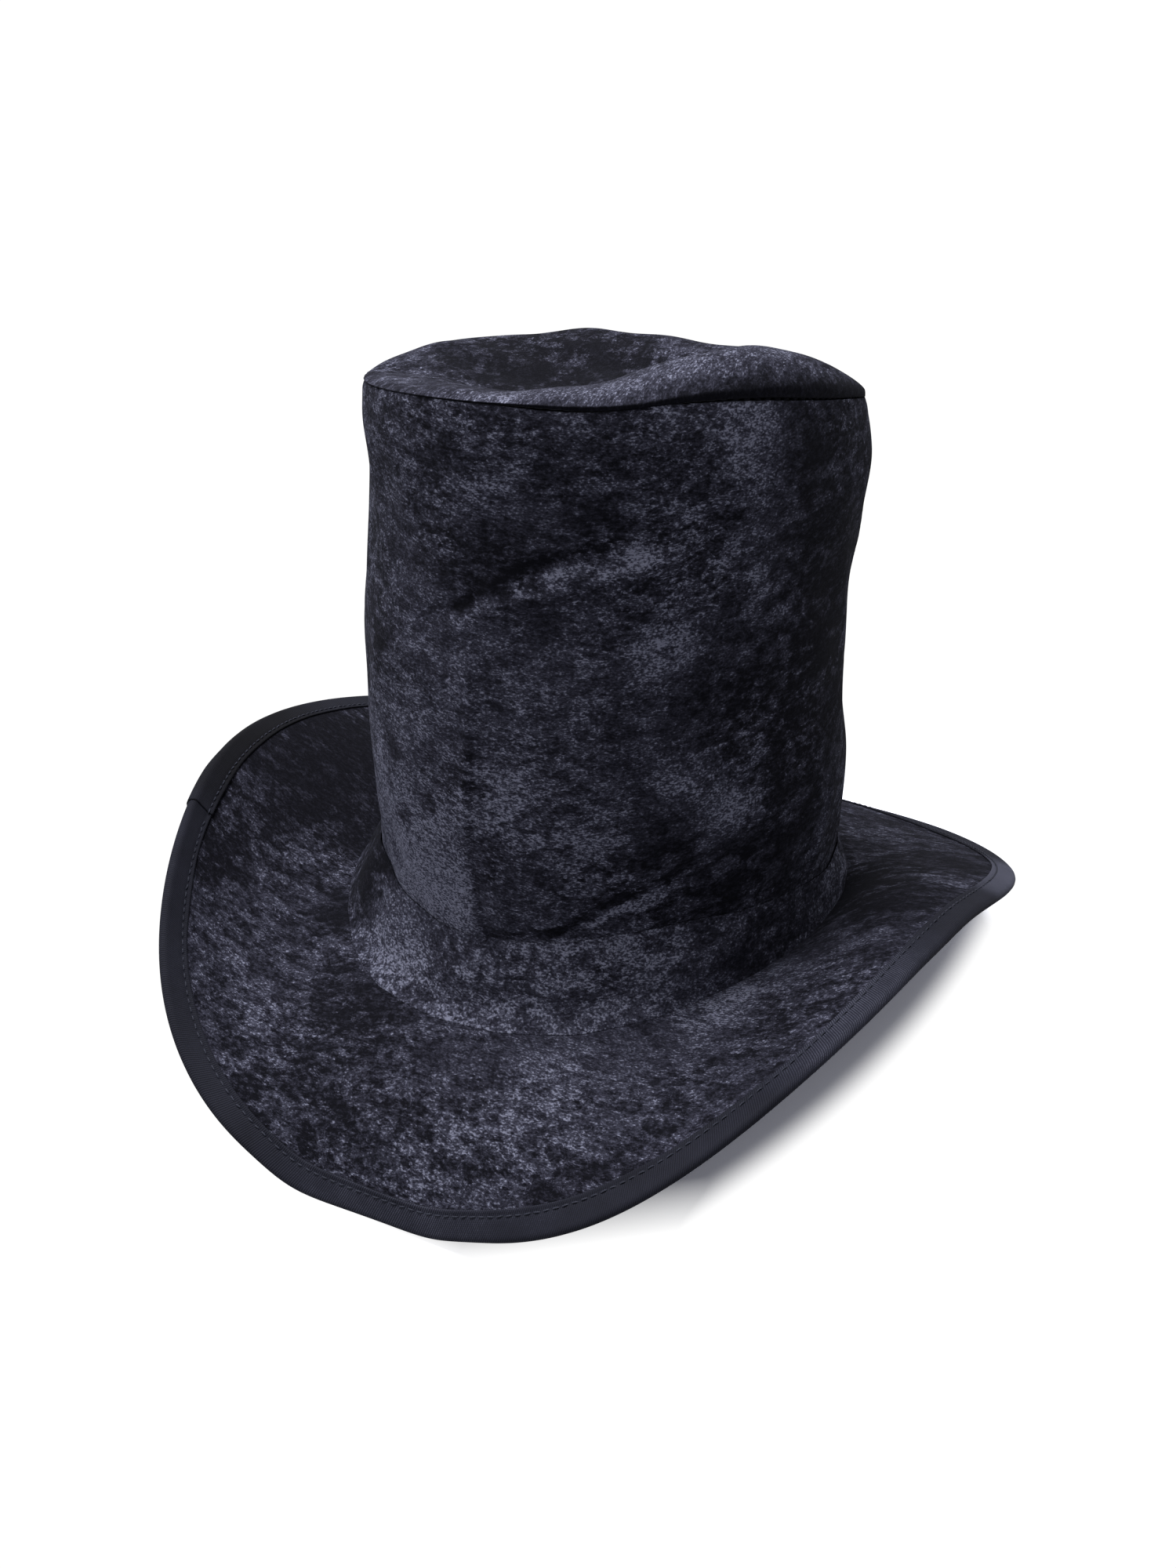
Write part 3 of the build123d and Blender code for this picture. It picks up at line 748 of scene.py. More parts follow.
def band_piece(name, stations, steps):
    turn = np.linspace(-179.85, 179.85, stations) * DEG
    degrees = turn / DEG
    top_z = foot_z(turn) + ring_table(turn, BAND)[0] + 0.6 * ripple(turn, 51, (4, 14), 10, 0.3)
    # stands off the wall most on the wearer's right, hugs it elsewhere
    gap = (0.12 + 1.1 * bell(wrap(degrees + 78), 0, 26) + 0.5 * bell(wrap(degrees - 96), 0, 16)
           + 0.3 * bell(wrap(degrees + 12), 0, 14))
    top_out = wall_out(turn, wall_share(turn, top_z)) + gap + 0.55
    flare = 0.8 + 5.0 * bell(wrap(degrees - 2), 0, 42, 4)
    low_z = brim_section(turn, flare, BRIM_FACE)[1] + 0.1
    bulge = 1.2 + 0.8 * ripple(turn, 53, (3, 8), 6, 0.3)

    def section(share, inner):
        thick = (0.35 + 0.85 * min(share / 0.25, 1)) * (1 - 0.6 * share**3) if inner else 0.0
        creases = 0.55 * waves(turn, share * 3.0, 54, (5, 26), (0.3, 3.0), 22, 0.3)
        hem = 0.25 * ripple(turn, 55, (7, 30), 12, 0.2)
        out = (top_out * share**1.05 + bulge * math.sin(math.pi * share)
               + flare * np.clip(1 - share / 0.36, 0, 1) ** 2
               + math.sin(math.pi * share) ** 0.7 * creases + hem * (1 - share) ** 2 - thick)
        z = low_z + (top_z - low_z) * (0.25 * share + 0.75 * share**1.3)
        # keep clear of the wall behind and of the brim beneath
        height = wall_share(turn, z)
        limit = wall_out(turn, np.clip(height, 0, 1)) + (0.10 if inner else 0.65)
        out = np.where(height > 0, np.maximum(out, limit), out)
        brim_z = np.where(out > 0, brim_section(turn, np.clip(out, 0, None), BRIM_FACE)[1],
                          inner_z(turn, out, BRIM_FACE))
        clearance = 0.08 if inner else 0.10 + 0.3 * min(share / 0.02, 1)
        return out, np.maximum(z, brim_z + clearance)

    shares = np.linspace(0, 1, steps) ** 1.15
    rows = [place(turn, *section(k, False)) for k in shares]
    fold_out, fold_z = section(1.0, False)
    for angle in (25, 60, 90, 120, 155):  # rounded top edge
        rows.append(place(turn, fold_out - 0.26 + 0.26 * math.cos(angle * DEG),
                          fold_z + 0.3 * math.sin(angle * DEG)))
    rows += [place(turn, *section(k, True)) for k in shares[::-3]]
    points = np.stack(rows, 1)
    return ring_piece(name, points, np.linspace(0, 0.64, stations),
                      run(points[stations // 2]) * MM, closed=False)


def band_foot(turn):
    return place(turn, -1.6, inner_z(turn, -1.6, BRIM_FACE) + 0.3)


band = band_piece("hat_band_cloth", 800, 56)
band_tacks = stitch_row("hat_band_slip_stitches", band_foot,
                        lambda turn: np.stack([0 * turn, 0 * turn, 1 + 0 * turn], -1),
                        pitch=12.5, length=2.8, radius=0.2, sink=0.0, seed=7)

# ------------------------------------------------------------------ head opening
SWEAT_HEIGHT, SWEAT_THICK, SWEAT_GAP = 32.0, 0.9, 0.75


def sweat_foot_z(turn):
    return inner_z(turn, opening_out(turn), -BRIM_FACE) - 0.5


def sweat_piece(name, stations):
    turn = np.linspace(-179.7, 179.7, stations) * DEG
    foot_out = opening_out(turn) - SWEAT_GAP
    low_z = sweat_foot_z(turn)
    dents = np.minimum(0.35 * ripple(turn, 61, (5, 22), 14, 0.3), 0)
    uneven = 0.5 * ripple(turn, 62, (3, 12), 8, 0.3)

    def row(share, depth):
        out = (foot_out - depth - 0.3 * math.sin(math.pi * share)
               + dents * math.sin(math.pi * share * 0.8))
        return place(turn, out, low_z + (SWEAT_HEIGHT + uneven) * share)

    shares = np.linspace(0, 1, 30)
    outer, inner = shares[::3], shares[::-1]
    points = np.stack([row(k, 0.0) for k in outer] + [row(k, SWEAT_THICK) for k in inner], 1)
    return ring_piece(name, points, np.linspace(0, 0.55, stations),
                      np.concatenate([outer, inner]) * SWEAT_HEIGHT * MM, closed=False)


def sweat_line(turn):
    return place(turn, opening_out(turn) - SWEAT_GAP - SWEAT_THICK - 0.3, sweat_foot_z(turn) + 4)


def whip_stitches(name, count):
    turn = 2 * math.pi * (np.arange(count) + 0.5) / count
    out = opening_out(turn)
    return strands(name, place(turn, out - 0.37, inner_z(turn, out, 0.0) + 1),
                   np.tile(np.array([0, 0, 1.0]), (count, 1)), outward_vector(turn),
                   length=6.0, radius=0.17, sink=0.0, seed=9)


sweatband = sweat_piece("sweatband_strip", 640)
sweat_stitches = stitch_row("sweatband_stitching", sweat_line, lambda turn: -outward_vector(turn),
                            pitch=3.9, length=2.9, radius=0.22, sink=0.1, seed=8)
whip = whip_stitches("crown_to_brim_whip_stitches", 94)


# ------------------------------------------------------------------ shader helpers
class Value:
    """A node's output; each operator adds one Math node."""

    def __init__(self, shader, socket):
        self.shader = shader
        self.socket = socket

    def __add__(self, other):
        return self.shader.math("ADD", self, other)

    def __radd__(self, other):
        return self.shader.math("ADD", other, self)

    def __sub__(self, other):
        return self.shader.math("SUBTRACT", self, other)

    def __rsub__(self, other):
        return self.shader.math("SUBTRACT", other, self)

    def __mul__(self, other):
        return self.shader.math("MULTIPLY", self, other)

    def __truediv__(self, other):
        return self.shader.math("DIVIDE", self, other)

    def __abs__(self):
        return self.shader.math("ABSOLUTE", self)

    def clamp(self):
        """Clamp the Math node behind this value to 0..1."""
        self.socket.node.use_clamp = True
        return self


class Shader:
    """Node tree of a new material or world."""

    def __init__(self, owner):
        self.owner = owner
        owner.use_nodes = True
        self.tree = owner.node_tree

    def feed(self, socket, value):
        if isinstance(value, Value):
            self.tree.links.new(value.socket, socket)
        else:
            socket.default_value = value

    def node(self, kind, inputs, output=0, **settings):
        node = self.tree.nodes.new(kind)
        for key, value in settings.items():
            setattr(node, key, value)
        for slot, value in inputs.items():
            self.feed(node.inputs[slot], value)
        return Value(self, node.outputs[output])

    def surface(self, **values):
        """Set the Principled node's inputs, spaces written as underscores."""
        for key, value in values.items():
            self.feed(self.tree.nodes["Principled BSDF"].inputs[key.replace("_", " ")], value)

    def math(self, operation, *values):
        return self.node("ShaderNodeMath", dict(enumerate(values)), operation=operation)

    def vector(self, operation, first, second=None):
        inputs = {0: first}
        if second is not None:
            inputs["Scale" if operation == "SCALE" else 1] = second
        output = "Value" if operation in ("DISTANCE", "DOT_PRODUCT", "LENGTH") else 0
        return self.node("ShaderNodeVectorMath", inputs, output, operation=operation)

    def split(self, vector):
        node = self.node("ShaderNodeSeparateXYZ", {0: vector}).socket.node
        return [Value(self, socket) for socket in node.outputs]

    def position(self):
        return self.node("ShaderNodeTexCoord", {}, "Object")

    def camera_ray(self):
        return self.node("ShaderNodeLightPath", {}, "Is Camera Ray")

    def noise(self, vector, scale, detail=3.0, roughness=0.55, distortion=0.0):
        return self.node("ShaderNodeTexNoise", {
            "Vector": vector, "Scale": scale, "Detail": detail, "Roughness": roughness,
            "Distortion": distortion}, "Fac")

    def ramp(self, factor, stops):
        color = self.node("ShaderNodeValToRGB", {"Fac": factor}, "Color")
        elements = color.socket.node.color_ramp.elements
        while len(elements) < len(stops):
            elements.new(0.5)
        for element, (position, stop_color) in zip(elements, stops):
            element.position = position
            element.color = stop_color
        return color

    def bump(self, height, strength, distance, **normal):
        return self.node("ShaderNodeBump", {"Height": height, "Strength": strength,
                                            "Distance": distance, **normal}, "Normal")

    def mix(self, factor, first, second):
        return self.node("ShaderNodeMixShader", {0: factor, 1: first, 2: second})


def new_material(name):
    return Shader(bpy.data.materials.new(name))


def srgb(*levels):
    """Linear colour from 0-255 levels."""
    return tuple(((c / 255) / 12.92 if c / 255 <= 0.04045 else ((c / 255 + 0.055) / 1.055) ** 2.4)
                 for c in levels) + (1.0,)


def spread_out(value, low, high):
    """Stretch low..high to 0..1."""
    return ((value - low) / (high - low)).clamp()


# ------------------------------------------------------------------ materials
VELVET_STOPS = [(0.0, srgb(13, 13, 19)), (0.2, srgb(29, 29, 38)), (0.45, srgb(48, 48, 60)),
                (0.72, srgb(73, 74, 89)), (1.0, srgb(122, 124, 143))]


def velvet(name, grain, shift, areas, bright, scales=(92, 290), upward_painted_light=0.0, lines=()):
    """Crushed pile: patches where the pile lies differently, woven flecks, dark pits, and painted
    light and shade.

    areas: centre, size mm, gain, and 1 where the area fades out past x = 0; besides pile patches and
    pits they hold painted light and shade.
    lines: start, end, width mm, gain, whether the line is broken up; they are painted shade and
    painted highlight along folds.
    steep: painted light, how much lighter faces that look up are than leaning ones.
    """
    shader = new_material(name)
    position = shader.position()
    moved = shader.vector("ADD", position, shift)
    patch = spread_out(shader.noise(moved, scale=24, detail=6, roughness=0.60), 0.36, 0.64)
    grained = shader.vector("MULTIPLY", moved, grain)
    coarse = shader.noise(grained, scale=scales[0], detail=8, roughness=0.72)
    fine = shader.noise(grained, scale=scales[1], detail=6, roughness=0.75)
    fleck = spread_out(shader.noise(grained, scale=930, detail=2, roughness=0.6), 0.32, 0.68)
    zone = (patch - 0.5) * 0.30

    def position_after(value):
        # a position tied to the sum so far, so that areas are worked out one after another
        return shader.vector("ADD", position, value * 1e-9)

    # gated areas are painted light that stops past x = 0, at the crown's front facet
    if any(len(area) > 3 for area in areas):
        wander = (fine - 0.5) * 0.012
        gate = spread_out(shader.split(position)[0] + wander, -0.0005, 0.0045)
    # the areas add pile patches and pits, and painted light and shade
    for centre, size, gain, *gated in areas:
        away = shader.vector("DISTANCE", position_after(zone), centre)
        ragged = away / (size * MM) + (coarse - 0.5) * 2.2
        fall = (1.45 - ragged).clamp()
        if gated:
            fall = fall * (1.0 - gate * 0.85)
        zone = zone + fall * gain
    # painted light: faces that look up are made lighter, leaning ones darker
    if upward_painted_light:
        normal = shader.node("ShaderNodeNewGeometry", {}, "Normal")
        zone = zone + (shader.split(normal)[2] - 0.93) * upward_painted_light
    # calm areas between crushed ones
    crush_place = shader.vector("ADD", moved, (1.7, 0.4, 0.9))
    crush = spread_out(shader.noise(crush_place, scale=17, detail=4), 0.40, 0.62)
    contrast = 0.72 + crush * 0.55
    # painted shade and painted highlight lines along the folds
    for start, end, size, gain, broken in lines:
        span = end - start
        offset = shader.vector("SUBTRACT", position_after(zone), start)
        share = (shader.vector("DOT_PRODUCT", offset, span / (span @ span)) + 0.0).clamp()
        away = shader.vector("DISTANCE", offset, shader.vector("SCALE", span, share))
        ragged = away / (size * MM) + (fine - 0.5) * 2.4
        fall = (1.3 - ragged).clamp()
        if broken:
            fall = fall * spread_out(coarse, 0.46, 0.56)
        zone = zone + fall * gain
    # how the pile lies, with the painted light and shade of the areas, fold lines and upward faces
    # added: 0 dark, 1 light
    blotch = spread_out(coarse + zone * 0.08, 0.46, 0.54)
    tiny = spread_out(fine + zone * 0.05, 0.42, 0.58)
    lie_and_painted_light = (blotch - 0.5) * (contrast * 0.30)
    lie_and_painted_light = lie_and_painted_light + (tiny - 0.5) * (contrast * 0.38)
    lie_and_painted_light = lie_and_painted_light + zone * 0.60
    lie_and_painted_light = lie_and_painted_light + (bright + 0.46)
    # crush lines: a dark side and a light side
    contour = shader.noise(grained, scale=58, detail=4, roughness=0.6, distortion=0.5) - 0.5
    dark = (1.0 - abs(contour + 0.007) / 0.011).clamp()
    light = (1.0 - abs(contour - 0.014) / 0.015).clamp()
    fold = light * 0.24 - dark * 0.24
    lie_and_painted_light = lie_and_painted_light + fold * (0.35 + crush * 0.75)
    lie_and_painted_light = shader.math("MAXIMUM", shader.math("MINIMUM", lie_and_painted_light, 1.0), tiny * 0.13)
    # woven flecks, with bright ones where the pile is light or painted light falls
    tone = lie_and_painted_light * (0.50 + fleck * 0.82)
    tone = tone + (fleck - 0.5) * 0.10
    spark = (fleck - 0.70).clamp() * 3.3
    tone = (tone + (spark * 0.42) * (lie_and_painted_light * lie_and_painted_light)).clamp()
    height = lie_and_painted_light * 0.7 + tiny * 0.3
    height = height + (fold * crush) * 0.8
    lie_normal = shader.bump(height, strength=0.35, distance=0.0009)
    shader.surface(
        Base_Color=shader.ramp(tone, VELVET_STOPS), Roughness=0.92 - lie_and_painted_light * 0.14,
        Specular_IOR_Level=0.07, Sheen_Weight=0.03, Sheen_Roughness=0.4,
        Sheen_Tint=(0.45, 0.47, 0.60, 1),
        Normal=shader.bump(fleck, strength=0.35, distance=0.0003, Normal=lie_normal))
    return shader.owner


def ribbed(name, stops, pitch, roughness, sheen, twill=0.0, bump=0.00008, areas=()):
    """Woven cloth or thread: ribs at a pitch in m, twill slant, cloudy wear.

    areas: centre, size mm, gain; they hold painted light and shade.
    """
    shader = new_material(name)
    u, v, _ = shader.split(shader.node("ShaderNodeUVMap", {}, "UV", uv_map="cloth"))
    phase = u * (2 * math.pi / pitch) + v * (twill * 2 * math.pi / pitch)
    wobble = shader.noise(shader.position(), scale=420) * 2.2
    rib = shader.math("SINE", phase + wobble) * 0.5 + 0.5
    cross = shader.math("SINE", v * (2 * math.pi / (pitch * 0.8))) * 0.5 + 0.5
    fine = shader.noise(shader.position(), scale=1900, roughness=0.7)
    cloud = shader.noise(shader.position(), scale=62, detail=4, roughness=0.6)
    tone = rib * 0.30 + fine * 0.42
    tone = tone + cloud * 0.45
    tone = tone + cross * 0.08
    # painted light and shade in given areas
    for centre, size, gain in areas:
        away = shader.vector("DISTANCE", shader.position(), centre)
        fall = (1.0 - away / (size * MM)).clamp()
        tone = tone + (fall * (2.0 - fall)) * gain
    tone = (tone - 0.12).clamp()
    shader.surface(
        Base_Color=shader.ramp(tone, stops), Roughness=roughness + fine * 0.16,
        Specular_IOR_Level=0.12, Sheen_Weight=sheen, Sheen_Roughness=0.4,
        Sheen_Tint=(0.5, 0.52, 0.62, 1),
        Normal=shader.bump(rib * 0.8 + fine * 0.5, strength=0.7, distance=bump))
    return shader.owner


def foamy(name, dark, light, scale=900):
    shader = new_material(name)
    grain = shader.noise(shader.position(), scale=scale, detail=4, roughness=0.7)
    cells = shader.node("ShaderNodeTexVoronoi", {"Scale": scale * 0.9,
                                                 "Vector": shader.position()}, "Distance")
    tone = (grain * 0.6 + cells * 0.6).clamp()
    shader.surface(Base_Color=shader.ramp(tone, [(0.2, dark), (0.85, light)]),
                   Roughness=0.82 + grain * 0.15,
                   Normal=shader.bump(tone, strength=0.6, distance=0.0003))
    return shader.owner


def metal(name, dark, light, roughness):
    shader = new_material(name)
    stretched = shader.vector("MULTIPLY", shader.position(), (1, 1, 6.0))
    grain = shader.noise(stretched, scale=700, detail=4, roughness=0.7)
    shader.surface(Base_Color=shader.ramp(grain, [(0.3, dark), (0.7, light)]), Metallic=1.0,
                   Roughness=roughness + grain * 0.2,
                   Normal=shader.bump(grain, strength=0.3, distance=0.0001))
    return shader.owner


def wall_at(degrees, share):
    turn = np.array([degrees * DEG])
    return place(turn, wall_out(turn, share), wall_z(turn, share))[0] * MM


def brim_at(degrees, dist):
    return brim_point(np.array([degrees * DEG]), dist, BRIM_FACE)[0] * MM


def areas_on(point_at, table):
    return [(point_at(degrees, across), *rest) for degrees, across, *rest in table]


# Lighter and darker areas, partly pile patches and pits and partly painted light and shade (a painted
# lit strip on the wearer's right front that stops past x = 0, painted shade on the wearer's left):
# degrees, share of height, size mm, gain, 1 to fade past x = 0
SIDE_PATCHES_AND_PAINTED_LIGHT = areas_on(wall_at, [
    (-20, 0.12, 26, 0.40, 1), (-14, 0.24, 26, 0.34, 1), (-26, 0.34, 24, 0.24),
    (-40, 0.18, 22, 0.20), (-4, 0.20, 18, 0.20, 1), (-31, 0.21, 5, -0.34), (-22, 0.31, 5, -0.34),
    (-11, 0.15, 4, -0.30), (-35, 0.11, 5, -0.34), (-25, 0.43, 6, -0.34), (-13, 0.36, 5, -0.30),
    (-42, 0.52, 7, -0.36), (-30, 0.60, 7, -0.34), (60, 0.60, 4, 0.34), (71, 0.66, 4, 0.32),
    (54, 0.53, 4, 0.34), (78, 0.50, 4, 0.30), (4, 0.79, 15, -0.16), (28, 0.86, 14, -0.14),
    (22, 0.762, 5, 0.34), (29, 0.776, 5, 0.40), (36, 0.79, 6, 0.44), (58, 0.79, 7, 0.34),
    (62, 0.72, 6, 0.28), (74, 0.30, 6, 0.34), (56, 0.34, 8, 0.40), (64, 0.45, 7, 0.34),
    (66, 0.56, 30, -0.24), (52, 0.18, 18, -0.36), (-24, 0.46, 20, 0.16), (18, 0.42, 30, 0.16),
    (43, 0.645, 13, 0.30), (48, 0.405, 11, 0.28), (58, 0.95, 12, 0.34), (6, 0.885, 13, 0.26),
    (40, 0.31, 15, -0.30), (92, 0.75, 36, -0.40), (88, 0.42, 34, -0.38), (70, 0.22, 22, -0.22),
    (78, 0.93, 16, -0.26), (-5, 0.93, 12, -0.16),
])
# Painted light and shade on the band: painted shade where it stands off the wall on the wearer's right
# and on the wearer's left, painted light at the front
BAND_PAINTED_LIGHT = areas_on(wall_at, [
    (-25, 0.04, 15, 0.40), (-12, 0.05, 12, 0.16), (58, 0.06, 24, -0.36), (84, 0.05, 20, -0.20),
    (-50, 0.10, 20, -0.85), (-72, 0.08, 22, -0.60),
])
# Lighter and darker areas on the brim, partly pile patches and partly painted light and shade, lighter
# towards the front and darker on the rims at the sides: degrees, mm along the brim, size mm, gain
BRIM_PATCHES_AND_PAINTED_LIGHT = areas_on(brim_at, [
    (24, 20, 22, 0.22), (48, 11, 15, 0.36), (62, 8, 15, 0.34), (-35, 34, 18, 0.10),
    (-66, 16, 14, 0.10), (10, 40, 30, 0.16), (-49, 5, 12, -0.30), (-60, 58, 20, -0.24),
    (-85, 40, 36, -0.42), (96, 8, 24, -0.50), (110, 35, 24, -0.34), (-25, 20, 22, -0.10),
    (20, 62, 14, -0.10), (40, 58, 20, -0.14), (-20, 62, 14, -0.12), (-98, 50, 24, -0.50),
    (84, 42, 20, -0.40),
])
# Painted shade on the binding along the wearer's right rim, painted light at the front and on the
# wearer's left
TAPE_PAINTED_LIGHT = areas_on(brim_at, [(-80, 62, 60, -0.44), (2, 52, 60, 0.22), (58, 52, 46, 0.32),
                                (106, 58, 46, 0.56)])
# Painted highlight along the crest of the roll and painted shade in the bowl of the top: centre in m,
# size mm, gain
TOP_PAINTED_LIGHT = [
    ((-0.034, 0.002, 0.243), 30, -0.34), ((-0.010, 0.019, 0.242), 32, -0.30),
    ((0.039, -0.080, 0.266), 15, 0.27), ((0.056, -0.058, 0.270), 17, 0.30),
    ((0.008, -0.092, 0.261), 13, 0.28), ((-0.036, -0.068, 0.256), 15, 0.06),
    ((-0.030, 0.044, 0.243), 26, -0.36), ((0.080, -0.030, 0.266), 18, 0.30),
]
# Paths of the long fold and the low tuck (degrees, share of height), where shade and highlight are
# painted, each with the drop to its painted highlight line below
FOLD_SHADE_PATHS = [([(-2, 0.695), (13, 0.764), (30, 0.802), (56, 0.828)], 0.022),
              ([(2, 0.138), (20, 0.16), (34, 0.225), (66, 0.272)], 0.026)]


def painted_fold_lines():
    """Painted shade as a dark line above and painted highlight as a broken light line below each fold,
    and a painted shade line down the front crease.
    """
    lines = []
    for path, drop in FOLD_SHADE_PATHS:
        for start, end in zip(path[:-1], path[1:]):
            for shift, *look in ((0.006, 2.6, -0.42, False), (-drop, 3.6, 0.40, True)):
                lines.append((wall_at(start[0], start[1] + shift),
                              wall_at(end[0], end[1] + shift), *look))
    lines.append((wall_at(0.5, 0.50), wall_at(0, 0.16), 2.2, -0.26, False))
    return lines


velvet_side = velvet("crushed velvet, crown side", grain=(1.0, 1.0, 1.9), shift=(0, 0, 0),
                     areas=SIDE_PATCHES_AND_PAINTED_LIGHT, bright=-0.015, scales=(96, 320), lines=painted_fold_lines())
# the crown top gets painted light on faces that look up, as well as its painted highlight and shade
velvet_top = velvet("crushed velvet, crown top", grain=(1.9, 0.9, 1.0), shift=(0.31, 0.2, 0.1),
                    areas=TOP_PAINTED_LIGHT, bright=-0.10, upward_painted_light=0.95)
velvet_brim = velvet("crushed velvet, brim", grain=(1.0, 1.9, 1.4), shift=(0.7, 0.1, 0.4),
                     areas=BRIM_PATCHES_AND_PAINTED_LIGHT, bright=-0.125, scales=(84, 310))
velvet_band = velvet("crushed velvet, band", grain=(1.0, 1.0, 1.7), shift=(0.2, 0.6, 0.9),
                     areas=BAND_PAINTED_LIGHT, bright=0.12, scales=(100, 340))


def two_stops(dark, light):
    return [(0.15, srgb(*dark)), (0.95, srgb(*light))]


tape_weave = ribbed(
    "binding tape, twill ribs",
    [(0.15, srgb(12, 12, 17)), (0.75, srgb(37, 38, 49)), (1.0, srgb(73, 74, 88))],
    pitch=0.00082, roughness=0.68, sheen=0.02, twill=0.35, bump=0.00022, areas=TAPE_PAINTED_LIGHT)
binding_thread = ribbed("binding thread", two_stops((22, 23, 30), (64, 66, 80)),
                        pitch=0.0006, roughness=0.42, sheen=0.05, twill=0.8)
sewing_thread = ribbed("sewing thread", two_stops((16, 16, 22), (48, 49, 58)),
                       pitch=0.0006, roughness=0.42, sheen=0.05, twill=0.8)
lining = ribbed("lining, plain weave", two_stops((18, 18, 23), (44, 45, 52)),
                pitch=0.0005, roughness=0.45, sheen=0.05)
sweat_strip = ribbed("sweatband, ribbed strip", two_stops((22, 22, 27), (52, 53, 60)),
                     pitch=0.0011, roughness=0.5, sheen=0.06, bump=0.0002)
foam = foamy("padding foam", srgb(58, 58, 62), srgb(104, 104, 108))
core_felt = foamy("stiff core felt", srgb(70, 70, 72), srgb(128, 128, 128), scale=1400)
steel = metal("spring wire", srgb(120, 120, 124), srgb(176, 176, 180), roughness=0.3)
brass = metal("crimp sleeve", srgb(150, 118, 60), srgb(196, 160, 92), roughness=0.32)

# Piece, material, the CAD node it replaces, material slot
for piece, material, node, slot in [
    (side_cloth, velvet_side, "crown_side_velvet", "crushed_velvet"),
    (side_foam, foam, "crown_side_foam", "foam"),
    (side_lining, lining, "crown_side_lining", "lining_cloth"),
    (top_cloth, velvet_top, "crown_tip_velvet", "crushed_velvet"),
    (top_foam, foam, "crown_tip_foam", "foam"),
    (top_lining, lining, "crown_tip_lining", "lining_cloth"),
    (top_thread, sewing_thread, "crown_tip_seam_thread", "thread"),
    (back_thread, sewing_thread, "crown_back_seam_thread", "thread"),
    (band, velvet_band, "hat_band", "crushed_velvet"),
    (band_tacks, sewing_thread, "band_tack_thread", "thread"),
    (brim_top, velvet_brim, "brim_top_velvet", "crushed_velvet"),
    (brim_under, velvet_brim, "brim_under_velvet", "crushed_velvet"),
    (brim_core, core_felt, "brim_stiffener", "stiff_core"),
    (wire, steel, "brim_edge_wire", "wire_steel"),
    (sleeve, brass, "wire_joiner", "sleeve_brass"),
    (tape, tape_weave, "brim_binding", "binding_tape"),
    (stitches_top, binding_thread, "binding_stitches_top", "thread"),
    (stitches_under, binding_thread, "binding_stitches_under", "thread"),
    (sweatband, sweat_strip, "sweatband", "sweatband_cloth"),
    (sweat_stitches, sewing_thread, "sweatband_stitches", "thread"),
    (whip, sewing_thread, "crown_brim_seam_thread", "thread"),
]:
    piece.data.materials.append(material)
    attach(piece, "root")
    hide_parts(node)


# ------------------------------------------------------------------ floor and world
BACKDROP_STRENGTH = 1.05


def floor_material(name):
    """White floor that turns into a plain glowing backdrop away from the hat."""
    shader = new_material(name)
    lit = shader.node("ShaderNodeBsdfDiffuse", {"Color": (1.26, 1.27, 1.43, 1)})
    dim = shader.node("ShaderNodeBsdfDiffuse", {"Color": (0.30, 0.30, 0.315, 1)})
    seen = shader.camera_ray()
    plain = shader.mix(seen, dim, lit)

    def length_from(centre, scale):
        offset = shader.vector("SUBTRACT", shader.position(), centre)
        return shader.vector("LENGTH", shader.vector("MULTIPLY", offset, scale))

    # outside an oval, outside a large circle, or past a slanting line in front
    oval = length_from((0.030, 0.020, 0), (1 / 0.160, 1 / 0.200, 0))
    past_oval = ease(((oval - 0.80) / 0.19).clamp())
    circle = length_from((-0.4116, 0.1117, 0), (1, 1, 0))
    past_circle = ease(((circle - 0.5415) / 0.0155).clamp())
    away = shader.math("MAXIMUM", past_oval, past_circle)
    x, y, _ = shader.split(shader.position())
    past_line = ((x * 0.6 - y * 0.8 - 0.132) / 0.024).clamp()
    away = shader.math("MAXIMUM", away, past_line)
    glow = shader.node("ShaderNodeEmission", {"Strength": BACKDROP_STRENGTH})
    shader.feed(shader.tree.nodes["Material Output"].inputs["Surface"],
                shader.mix(away * seen, plain, glow))
    return shader.owner


FLOOR_HALF = 6.0
floor_mesh = bpy.data.meshes.new("studio_floor")
floor_mesh.from_pydata([(x * FLOOR_HALF, y * FLOOR_HALF, 0)
                        for x, y in ((-1, -1), (1, -1), (1, 1), (-1, 1))], [], [(0, 1, 2, 3)])
floor = bpy.data.objects.new("studio_floor", floor_mesh)
bpy.context.scene.collection.objects.link(floor)
floor.data.materials.append(floor_material("studio floor white"))

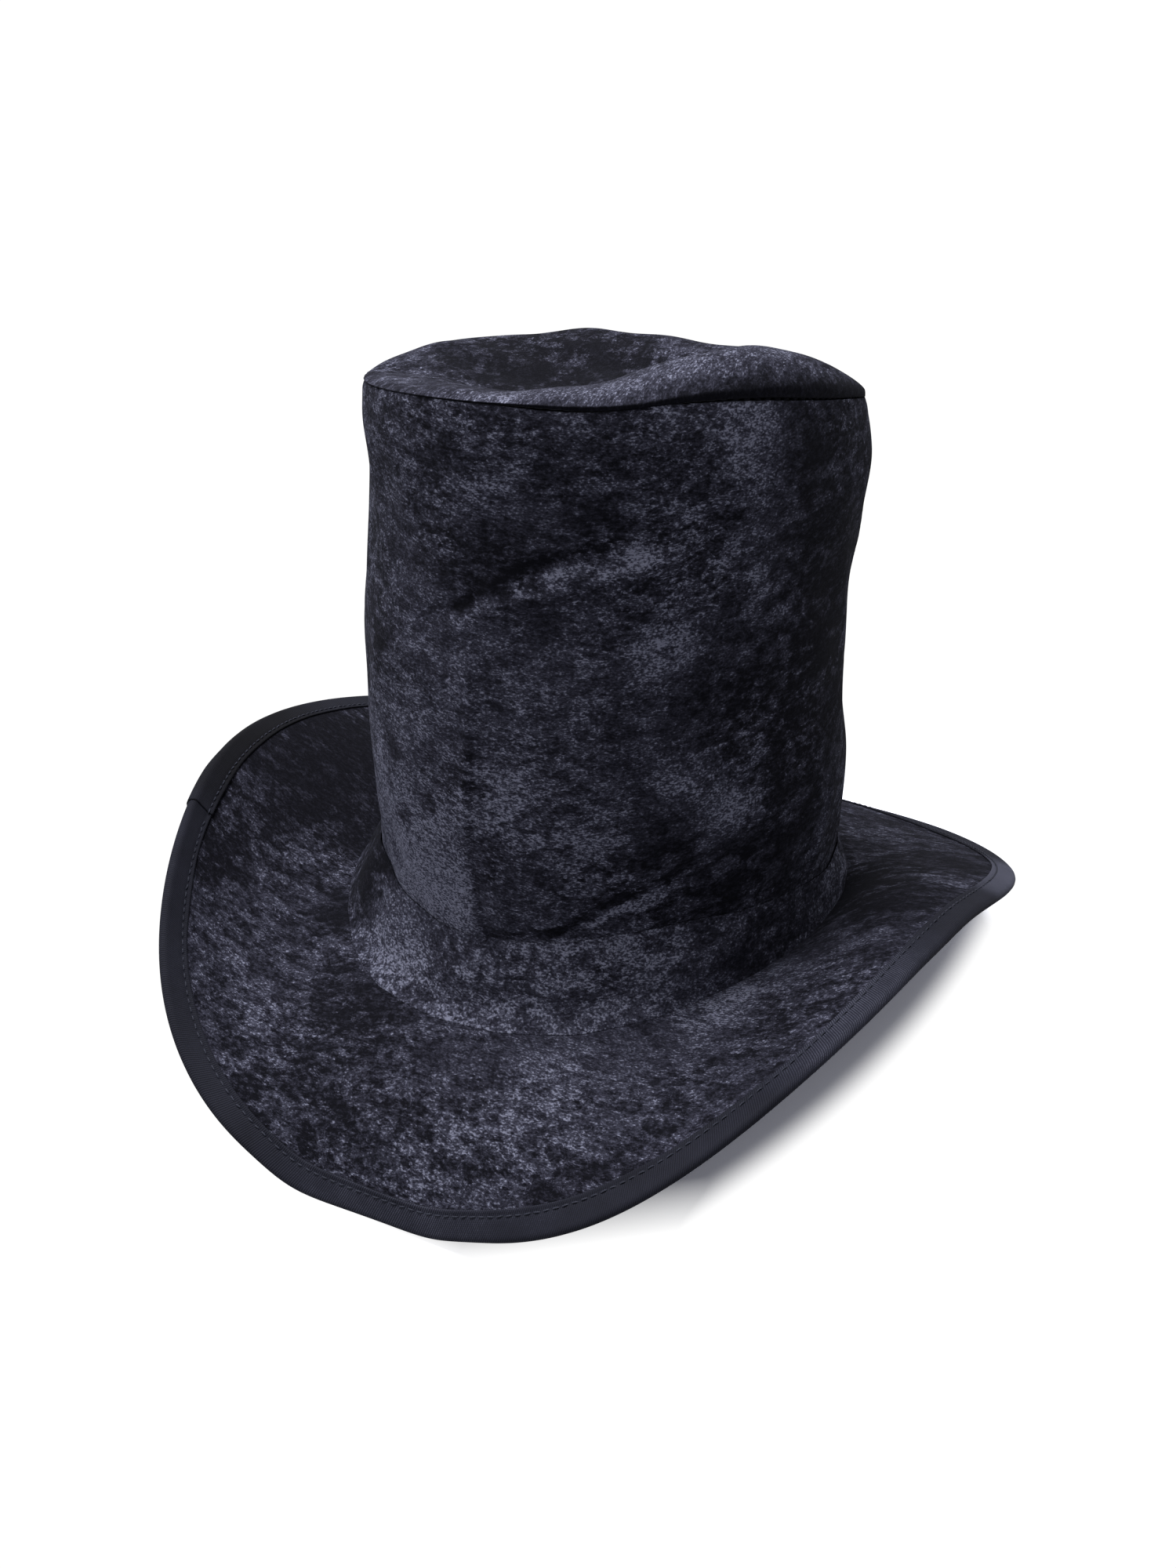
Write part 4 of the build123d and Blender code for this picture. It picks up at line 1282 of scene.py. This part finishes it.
studio = Shader(bpy.data.worlds.new("studio"))
bpy.context.scene.world = studio.owner
ambient = studio.tree.nodes["Background"]
ambient.inputs["Color"].default_value = (0.97, 0.98, 1.0, 1)
ambient.inputs["Strength"].default_value = 0.42
white = studio.node("ShaderNodeBackground", {"Color": (1, 1, 1, 1), "Strength": BACKDROP_STRENGTH})
studio.feed(studio.tree.nodes["World Output"].inputs["Surface"],
            studio.mix(studio.camera_ray(), Value(studio, ambient.outputs[0]), white))


# ------------------------------------------------------------------ lights and camera (m)
def lamp(name, location, target, size, power):
    light = bpy.data.lights.new(name, "AREA")
    light.shape = "DISK"
    light.size = size
    light.energy = power
    light.color = (1, 1, 1)
    holder = bpy.data.objects.new(name, light)
    bpy.context.scene.collection.objects.link(holder)
    holder.location = location
    aim = Vector(target) - Vector(location)
    holder.rotation_euler = aim.to_track_quat("-Z", "Y").to_euler()


VIEW_TURN = 25.981 * DEG                # camera's turn from the front to the wearer's left
CAMERA_DISTANCE, CAMERA_HEIGHT, AIM_HEIGHT = 0.520736, 0.366045, 0.1155
# level directions to the camera's right and away from it
right = Vector((math.cos(VIEW_TURN), math.sin(VIEW_TURN), 0))
ahead = Vector((-math.sin(VIEW_TURN), math.cos(VIEW_TURN), 0))
lamp("key", tuple(-right * 0.20 + ahead * 0.12 + Vector((0, 0, 2.0))),
     target=(0, 0, 0.10), size=0.8, power=46.0)
lamp("side", tuple(-right * 1.7 - ahead * 0.15 + Vector((0, 0, 0.85))),
     target=(0, 0, 0.13), size=0.8, power=9.0)

lens = bpy.data.cameras.new("camera")
camera = bpy.data.objects.new("camera", lens)
bpy.context.scene.collection.objects.link(camera)
camera.location = (math.sin(VIEW_TURN) * CAMERA_DISTANCE, -math.cos(VIEW_TURN) * CAMERA_DISTANCE,
                   CAMERA_HEIGHT)
camera_aim = Vector((0, 0, AIM_HEIGHT)) - Vector(camera.location)
camera.rotation_mode = "QUATERNION"
camera.rotation_quaternion = camera_aim.to_track_quat("-Z", "Y")
lens.sensor_width = 36
lens.sensor_fit = "AUTO"
lens.lens = 34.179768
lens.shift_x = -0.0087535
lens.shift_y = -0.045007
lens.clip_start = 0.02
scene = bpy.context.scene
scene.camera = camera
scene.view_settings.view_transform = "Standard"
scene.view_settings.look = "None"
scene.view_settings.exposure = 0.0

bpy.context.view_layer.update()
